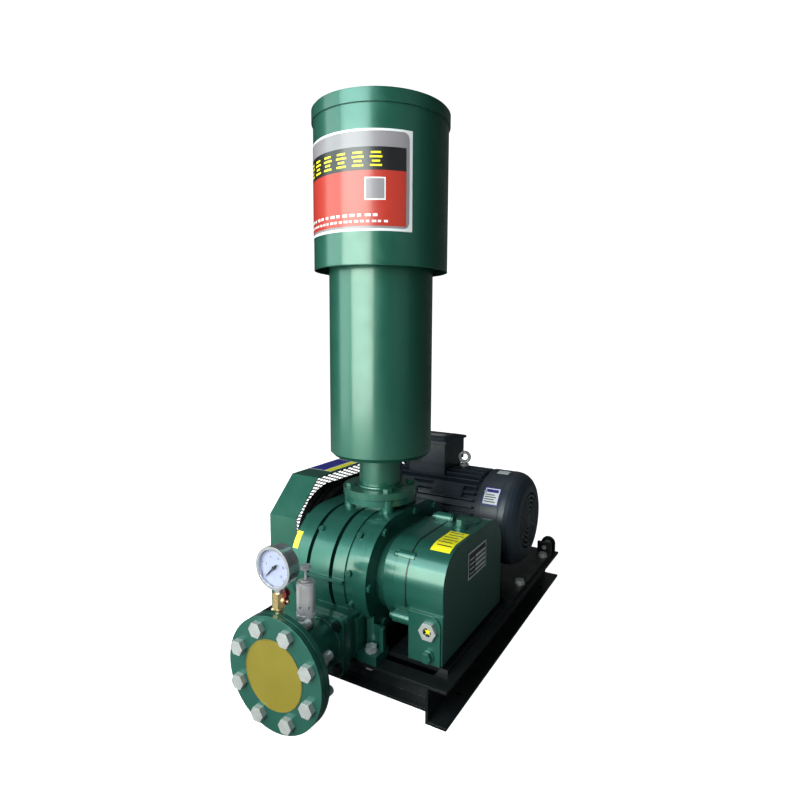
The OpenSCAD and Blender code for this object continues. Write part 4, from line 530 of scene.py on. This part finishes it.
# ---------------------------------------------------------------- gear cover
def cover_details():
    """Labels, seam of the gear case, bare type plate with its rivets, and the insert of the sight glass."""
    top = SHAFT_Z + CASE_R + FILM_1
    r = SHOULDER_R + FILM_1

    def skin(x, s):
        """s runs along the cover's skin from the flat top down over the near shoulder, in metres."""
        if s < 0:
            return Vector((x, SHOULDER_Y - s, top))
        a = s / r
        return Vector((x, SHOULDER_Y - r * math.sin(a), top - r + r * math.cos(a)))

    def print_skin(x, s):
        return skin(x, s) + Vector((0, 0, OVERPRINT))

    bm = bmesh.new()
    sheet_patch(bm, skin, 0.168, 0.2070, -0.055, 0.032, 2, 28, 0)
    for i in range(6):
        s0 = -0.049 + i * 0.0125
        bar_x0, bar_x1 = 0.171 + 0.003 * (i % 2), 0.204 - 0.005 * ((i + 1) % 2)
        sheet_patch(bm, print_skin, bar_x0, bar_x1, s0, s0 + 0.0030, 2, 2, 1)
    add("cover_label", bm, [YELLOW, INK], "base")

    # Dark seam: up the near side, over both shoulders and down the far side
    bm = bmesh.new()
    line = [(-0.325, 0.186)]
    for a in range(90, -1, -6):
        line.append((SHOULDER_Y - SHOULDER_R * math.sin(math.radians(a)),
                     top - FILM_1 - SHOULDER_R + SHOULDER_R * math.cos(math.radians(a))))
    line += [(-0.372 - y, z) for y, z in line[::-1]]
    sides = 8
    rings = []
    for i, (y, z) in enumerate(line):
        a, b = line[max(0, i - 1)], line[min(len(line) - 1, i + 1)]
        out = Vector((0, -(b[1] - a[1]), b[0] - a[0])).normalized()
        mid = Vector((SEAM_X, y, z)) + out * 0.0002
        w = 0.0011 * (1 + 0.12 * math.sin(i * 2.1))
        turns = [k * math.pi / 4 for k in range(sides)]
        rings.append([bm.verts.new(mid + out * w * math.cos(t) + Vector((w * 1.3 * math.sin(t), 0, 0)))
                      for t in turns])
    for near, far in zip(rings, rings[1:]):
        for k in range(sides):
            bm.faces.new((near[k], far[k], far[(k + 1) % sides], near[(k + 1) % sides]))
    add("case_seam", bm, BLACK, "base")

    def on_band(x, a):
        """The headplate's round band: x in metres, angle in degrees."""
        return Vector((x, DRIVEN_Y - (BAND_R + FILM_1) * math.cos(math.radians(a)),
                       SHAFT_Z + (BAND_R + FILM_1) * math.sin(math.radians(a))))

    bm = bmesh.new()
    sheet_patch(bm, on_band, -0.1095, -0.0965, 23.0, 41.0, 2, 10, 0)
    add("headplate_label", bm, [YELLOW], "base")

    def face(off):
        return lambda y, z: Vector((COVER_X + off, y, z))

    y0, y1, z0, z1 = -0.222, -0.133, 0.210, 0.264
    row_step = 0.0092
    bm = bmesh.new()
    rounded_patch(bm, face(FILM_2), y0, y1, z0, z1, 0.003, 0.003, 0)
    rounded_patch(bm, face(FILM_3), y0 + 0.004, y1 - 0.004, z0 + 0.004, z1 - 0.004, 0.002, 0.002, 1)
    for j in range(4):
        up = j * row_step
        rounded_patch(bm, face(FILM_4), y0 + 0.034, y1 - 0.007, z0 + 0.0075 + up, z0 + 0.0130 + up,
                      0.001, 0.001, 0, 6)
        rounded_patch(bm, face(FILM_4), y0 + 0.008, y0 + 0.030, z0 + 0.0090 + up, z0 + 0.0115 + up,
                      0.001, 0.001, 0, 6)
    add("cover_plate", bm, [PLATE, RELIEF], "base")

    inset = 0.003
    flat = Matrix.Scale(0.6, 4, (1, 0, 0))
    bm = bmesh.new()
    for y, z in ((y0 + inset, z0 + inset), (y1 - inset, z0 + inset), (y0 + inset, z1 - inset),
                 (y1 - inset, z1 - inset)):
        bmesh.ops.create_uvsphere(bm, u_segments=12, v_segments=8, radius=0.0017,
                                  matrix=Matrix.Translation((COVER_X + 0.0005, y, z)) @ flat)
    add("plate_rivets", bm, ZINC, "base")

    # Star-shaped marker: five kites round the middle of the glass
    sx, sy, sz = 0.188, -0.3326, 0.157
    star_in, star_out = 0.0034, 0.0078
    bm = bmesh.new()
    for k in range(5):
        tip = 90 + 72 * k
        pts = [(0, 0), polar(star_in, tip - 36), polar(star_out, tip), polar(star_in, tip + 36)]
        bm.faces.new([bm.verts.new((sx + px, sy, sz + pz)) for px, pz in pts])
    add("sight_insert", bm, YELLOW, "base", 0)
    bm = bmesh.new()
    upright = Matrix.Rotation(math.pi / 2, 4, "X")
    bmesh.ops.create_circle(bm, cap_ends=True, segments=32, radius=0.0079,
                            matrix=Matrix.Translation((sx, sy + 0.0006, sz)) @ upright)
    add("sight_back", bm, DARKFILM, "base", 0)


# ---------------------------------------------------------------- gauge
def gauge_details():
    """Scale marks and the generic digits 0 to 10, over 270 degrees from the lower left."""
    y = GAUGE_Y - 0.015 + 0.0058
    start, sweep, marks, digits, digit_r = 225, 270, 50, 6, 0.0185
    bm = bmesh.new()
    for i in range(marks + 1):
        a = math.radians(start - i * sweep / marks)
        long = i % 10 == 0
        mid = i % 5 == 0
        r1 = GAUGE_R - 0.0075
        r0 = r1 - (0.0042 if long else 0.0030 if mid else 0.0019)
        w = 0.00045 if long else 0.00022
        d = Vector((math.cos(a), 0, math.sin(a)))
        s = Vector((-math.sin(a), 0, math.cos(a)))
        c = Vector((GAUGE_X, y, GAUGE_Z))
        corners = (c + d * r0 - s * w, c + d * r1 - s * w, c + d * r1 + s * w, c + d * r0 + s * w)
        bm.faces.new([bm.verts.new(v) for v in corners])
    add("gauge_ticks", bm, INK, "base", 0)
    for i in range(digits):
        a = math.radians(start - i * 54)
        c = bpy.data.curves.new(f"gauge_digit_{i}", "FONT")
        c.body = str(i * 2)
        c.size = 0.0062
        c.align_x, c.align_y = "CENTER", "CENTER"
        c.extrude = 0.00004
        o = bpy.data.objects.new(f"gauge_digit_{i}", c)
        o.location = (GAUGE_X + digit_r * math.cos(a), y, GAUGE_Z + digit_r * math.sin(a))
        o.rotation_euler = (math.pi / 2, 0, 0)
        c.materials.append(INK)
        scene.collection.objects.link(o)
        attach(o, "base")


# ---------------------------------------------------------------- discharge
def discharge_details():
    """Weld beads of the pipe, the disc's rim, and threads and chamfers of the flange bolts."""
    along = (0, 1, 0)
    bm = bmesh.new()
    pipe_y, inner_weld_y = FRONT_Y + 0.0205, -0.3915
    tube_ring(bm, (PORT_X, pipe_y + 0.0010, OUTLET_Z), along, 0.0455, 0.0028, 96, 8, 0.12, 3)
    tube_ring(bm, (PORT_X, inner_weld_y, OUTLET_Z), along, 0.0453, 0.0026, 96, 8, 0.12, 4)
    add("pipe_welds", bm, CAST, "base")
    bm = bmesh.new()
    tube_ring(bm, (PORT_X, FRONT_Y - 0.0010, OUTLET_Z), along, 0.0598, 0.0005, 96, 6)
    add("disc_rim", bm, GOLD, "base")

    bolts = [polar(BOLT_CIRCLE_R, BOLT_STEP / 2 + BOLT_STEP * i) for i in range(FLANGE_BOLTS)]
    thread_y, thread_pitch, thread_turns = FRONT_Y + 0.0345, 0.0013, 14
    bm = bmesh.new()
    for px, pz in bolts:
        for k in range(thread_turns):
            c = (PORT_X + px, thread_y + thread_pitch * k, OUTLET_Z + pz)
            tube_ring(bm, c, along, 0.00795, 0.00042, 20, 4)
    add("flange_threads", bm, ZINC, "base")
    bm = bmesh.new()
    for px, pz in bolts:
        c = Vector((PORT_X + px, FRONT_Y - 0.0101, OUTLET_Z + pz))
        tube_ring(bm, c + Vector((0, 0.0004, 0)), along, 0.0098, 0.0004, 32, 6)
    add("bolt_chamfers", bm, ZINC, "base")


# ---------------------------------------------------------------- guard
def guard_details():
    """Expanded metal in place of the plain pierced plate, clipped to the guard's outline, and its sticker."""
    m = 0.004
    y0, y1, z0, z1 = GUARD_FRONT + m, GUARD_BACK - m, GUARD_FOOT + m, GUARD_TOP - m
    slope = GUARD_SLOPE + m * 1.41

    def inside(y, z):
        return (y0 <= y <= y1 and z0 <= z <= z1 and (y - GUARD_FRONT) + (GUARD_TOP - z) >= slope
                and (GUARD_BACK - y) + (GUARD_TOP - z) >= slope)

    pitch_y, pitch_z = 0.020, 0.0078
    half_width, tilt, thick = 0.0013, 0.0009, 0.0007
    x = GUARD_X0 + 0.0031
    bm = bmesh.new()
    n_y = int((y1 - y0) / pitch_y) + 2
    n_z = int((z1 - z0) / (pitch_z / 2)) + 2

    def strand(a, b, sign):
        d = (b - a)
        side = Vector((0, -d.z, d.y)).normalized() * half_width
        lean = Vector((tilt * sign, 0, 0))
        q = [a - side - lean, b - side - lean, b + side + lean, a + side + lean]
        t = Vector((thick, 0, 0))
        lo = [bm.verts.new(v) for v in q]
        hi = [bm.verts.new(v + t) for v in q]
        bm.faces.new(lo)
        bm.faces.new(hi[::-1])
        for i in range(4):
            bm.faces.new((lo[i], lo[(i + 1) % 4], hi[(i + 1) % 4], hi[i]))

    for j in range(n_z):
        for i in range(n_y):
            y = y0 + (i + (j % 2) / 2) * pitch_y
            z = z0 + j * pitch_z / 2
            for sy, sign in ((1, 1), (-1, -1)):
                a = Vector((x, y, z))
                b = Vector((x, y + sy * pitch_y / 2, z + pitch_z / 2))
                if inside(a.y, a.z) and inside(b.y, b.z):
                    strand(a, b, sign)
    mesh = add("guard_mesh_fine", bm, BLACK, "base", 0)
    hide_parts("guard_mesh")

    bm = bmesh.new()
    z = GUARD_TOP + FILM_1

    def top(off):
        return lambda u, v: Vector((u, v, z + off))

    sheet_patch(bm, top(0.0), -0.1945, -0.1320, -0.190, -0.083, 2, 2, 0)
    sheet_patch(bm, top(OVERPRINT), -0.1925, -0.1530, -0.187, -0.086, 2, 2, 1)
    sheet_patch(bm, top(OVERPRINT), -0.1500, -0.1335, -0.1875, -0.090, 2, 2, 2)
    add("guard_sticker", bm, [WHITE, BLUE, YELLOW], "base", 0)


# ---------------------------------------------------------------- soft parts
def copy_of(node, name):
    """A copy of a solid's mesh, placed where the solid stands."""
    src = nodes[node]
    me = src.data.copy()
    me.name = name
    o = bpy.data.objects.new(name, me)
    o.matrix_world = src.matrix_world
    scene.collection.objects.link(o)
    return o


def belts():
    """Belts between the blower and the sliding motor: a copy baked in place of the solid, which is hidden."""
    o = copy_of("drive_belts", "belts_bending")
    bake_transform(o)
    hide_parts("drive_belts")


def relief_spring():
    """Spring of the relief valve: a copy baked in place of the solid, which is hidden."""
    o = copy_of("relief_spring", "spring_bending")
    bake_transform(o)
    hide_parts("relief_spring")


# ---------------------------------------------------------------- motor
def motor_details():
    """Stickers, bands and screws of the cowl, plate on the fins, and label and screws of the terminal lid."""
    def on_cowl(off):
        """The cowl's skin raised by off: x in metres, angle in degrees."""
        r = COWL_R + off
        return lambda x, a: Vector((x, MOTOR_Y - r * math.cos(math.radians(a)),
                                    MOTOR_Z + r * math.sin(math.radians(a))))

    bm = bmesh.new()
    sheet_patch(bm, on_cowl(FILM_1), 0.138, 0.178, 28.0, 51.5, 2, 10, 1)
    sheet_patch(bm, on_cowl(FILM_2), 0.1405, 0.1755, 29.5, 50.0, 2, 10, 0)
    sheet_patch(bm, on_cowl(FILM_3), 0.1430, 0.1730, 44.5, 48.5, 2, 6, 1)
    for i in range(4):
        bar_end, up = 0.1700 - 0.004 * (i % 2), 2.9 * i
        sheet_patch(bm, on_cowl(FILM_3), 0.1430, bar_end, 32.0 + up, 33.1 + up, 2, 2, 2)
    add("cowl_sticker", bm, [WHITE, BLUE, INK], "motor_unit")
    bm = bmesh.new()
    sheet_patch(bm, on_cowl(FILM_1), 0.146, 0.174, 78.5, 91.0, 2, 10, 0)
    add("cowl_tag", bm, [WHITE], "motor_unit")
    bm = bmesh.new()
    for x in (COWL_X0 + 0.006, COWL_X0 + 0.052):
        tube_ring(bm, (x, MOTOR_Y, MOTOR_Z), (1, 0, 0), COWL_R + 0.0002 - 0.0012, 0.0014, 96, 8)
    add("cowl_bands", bm, MOTOR, "motor_unit")
    bm = bmesh.new()
    for a in (45, 135, 225, 315):
        py, pz = polar(COWL_R + 0.0001, a)
        out = Vector((0, *polar(1, a)))
        rot = out.to_track_quat("Z", "X").to_matrix().to_4x4()
        place = Matrix.Translation((COWL_X0 + 0.014, MOTOR_Y + py, MOTOR_Z + pz)) @ rot
        bmesh.ops.create_cone(bm, cap_ends=True, segments=16, radius1=0.0045, radius2=0.0036, depth=0.0026,
                              matrix=place)
    add("cowl_screws", bm, ZINC, "motor_unit")

    # Plate on the fins' pad, tilted towards the near side
    tilt = Matrix.Translation((0, MOTOR_Y, MOTOR_Z)) @ Matrix.Rotation(math.radians(-40), 4, "X")
    pad_r = 0.111

    def pad(off):
        return lambda x, z: tilt @ Vector((x, -pad_r - off, z))

    bm = bmesh.new()
    rounded_patch(bm, pad(0.0006), 0.007, 0.081, -0.013, 0.013, 0.002, 0.002, 0)
    rounded_patch(bm, pad(0.0009), 0.009, 0.079, -0.0115, 0.0115, 0.002, 0.002, 1)
    for j in range(3):
        up = j * 0.0062
        rounded_patch(bm, pad(0.0011), 0.014, 0.060, -0.0084 + up, -0.0056 + up, 0.001, 0.001, 0, 6)
    add("motor_plate", bm, [RELIEF, MOTOR], "motor_unit")

    lo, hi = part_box("terminal_lid")
    c = (lo + hi) / 2
    bm = bmesh.new()
    rounded_patch(bm, lambda u, v: Vector((u, v, hi.z + FILM_1)), -0.040, 0.008, 0.076, 0.105,
                  0.002, 0.002, 0)
    add("lid_label", bm, PINK, "motor_unit", 0)
    screw_x, screw_y, screw_z = 0.050, 0.052, lo.z + 0.0068
    bm = bmesh.new()
    for sx in (-1, 1):
        for sy in (-1, 1):
            p = Vector((c.x + sx * screw_x, c.y + sy * screw_y, screw_z))
            for sides, radius, depth, drop in ((6, 0.0050, 0.0050, 0.0), (24, 0.0064, 0.0010, 0.0022)):
                bmesh.ops.create_cone(bm, cap_ends=True, segments=sides, radius1=radius, radius2=radius,
                                      depth=depth, matrix=Matrix.Translation(p - Vector((0, 0, drop))))
    add("lid_screws", bm, ZINC, "motor_unit")


# ---------------------------------------------------------------- frame hardware
def frame_details():
    """Threads of the tension rods, and weld beads where the cross channels meet the rails."""
    bm = bmesh.new()
    lo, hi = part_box("tension_rods")
    rod_z = (lo[2] + hi[2]) / 2
    rod_y, rod_pitch, rod_turns = 0.3215, 0.0020, 26
    for x in (-ROD_X, ROD_X):
        for k in range(rod_turns):
            tube_ring(bm, (x, rod_y + rod_pitch * k, rod_z), (0, 1, 0), 0.0060, 0.0005, 20, 4)
    add("rod_threads", bm, ZINC, "motor_unit")

    bead_r, bead_step, beads = 0.0028, 0.0024, 12
    bm = bmesh.new()
    for side in (-1, 1):
        for y in (-0.3185, -0.052, 0.3205):
            shift = 0.012 * (1 if y > -0.3 else -1)
            for dz in (0.026, 0.068):
                for k in range(beads):
                    p = Vector((side * (RAIL_X - 0.001), y + (k - 5.5) * bead_step + shift, dz))
                    bmesh.ops.create_uvsphere(bm, u_segments=8, v_segments=6, radius=bead_r,
                                              matrix=Matrix.Translation(p))
    add("frame_welds", bm, BLACK, "base")


silencer_details()
cover_details()
gauge_details()
discharge_details()
guard_details()
belts()
relief_spring()
motor_details()
frame_details()

# ---------------------------------------------------------------- render
scene.render.engine = "CYCLES"
scene.view_settings.view_transform = "Standard"
scene.render.resolution_x = 800
scene.render.resolution_y = 800
bpy.context.view_layer.update()
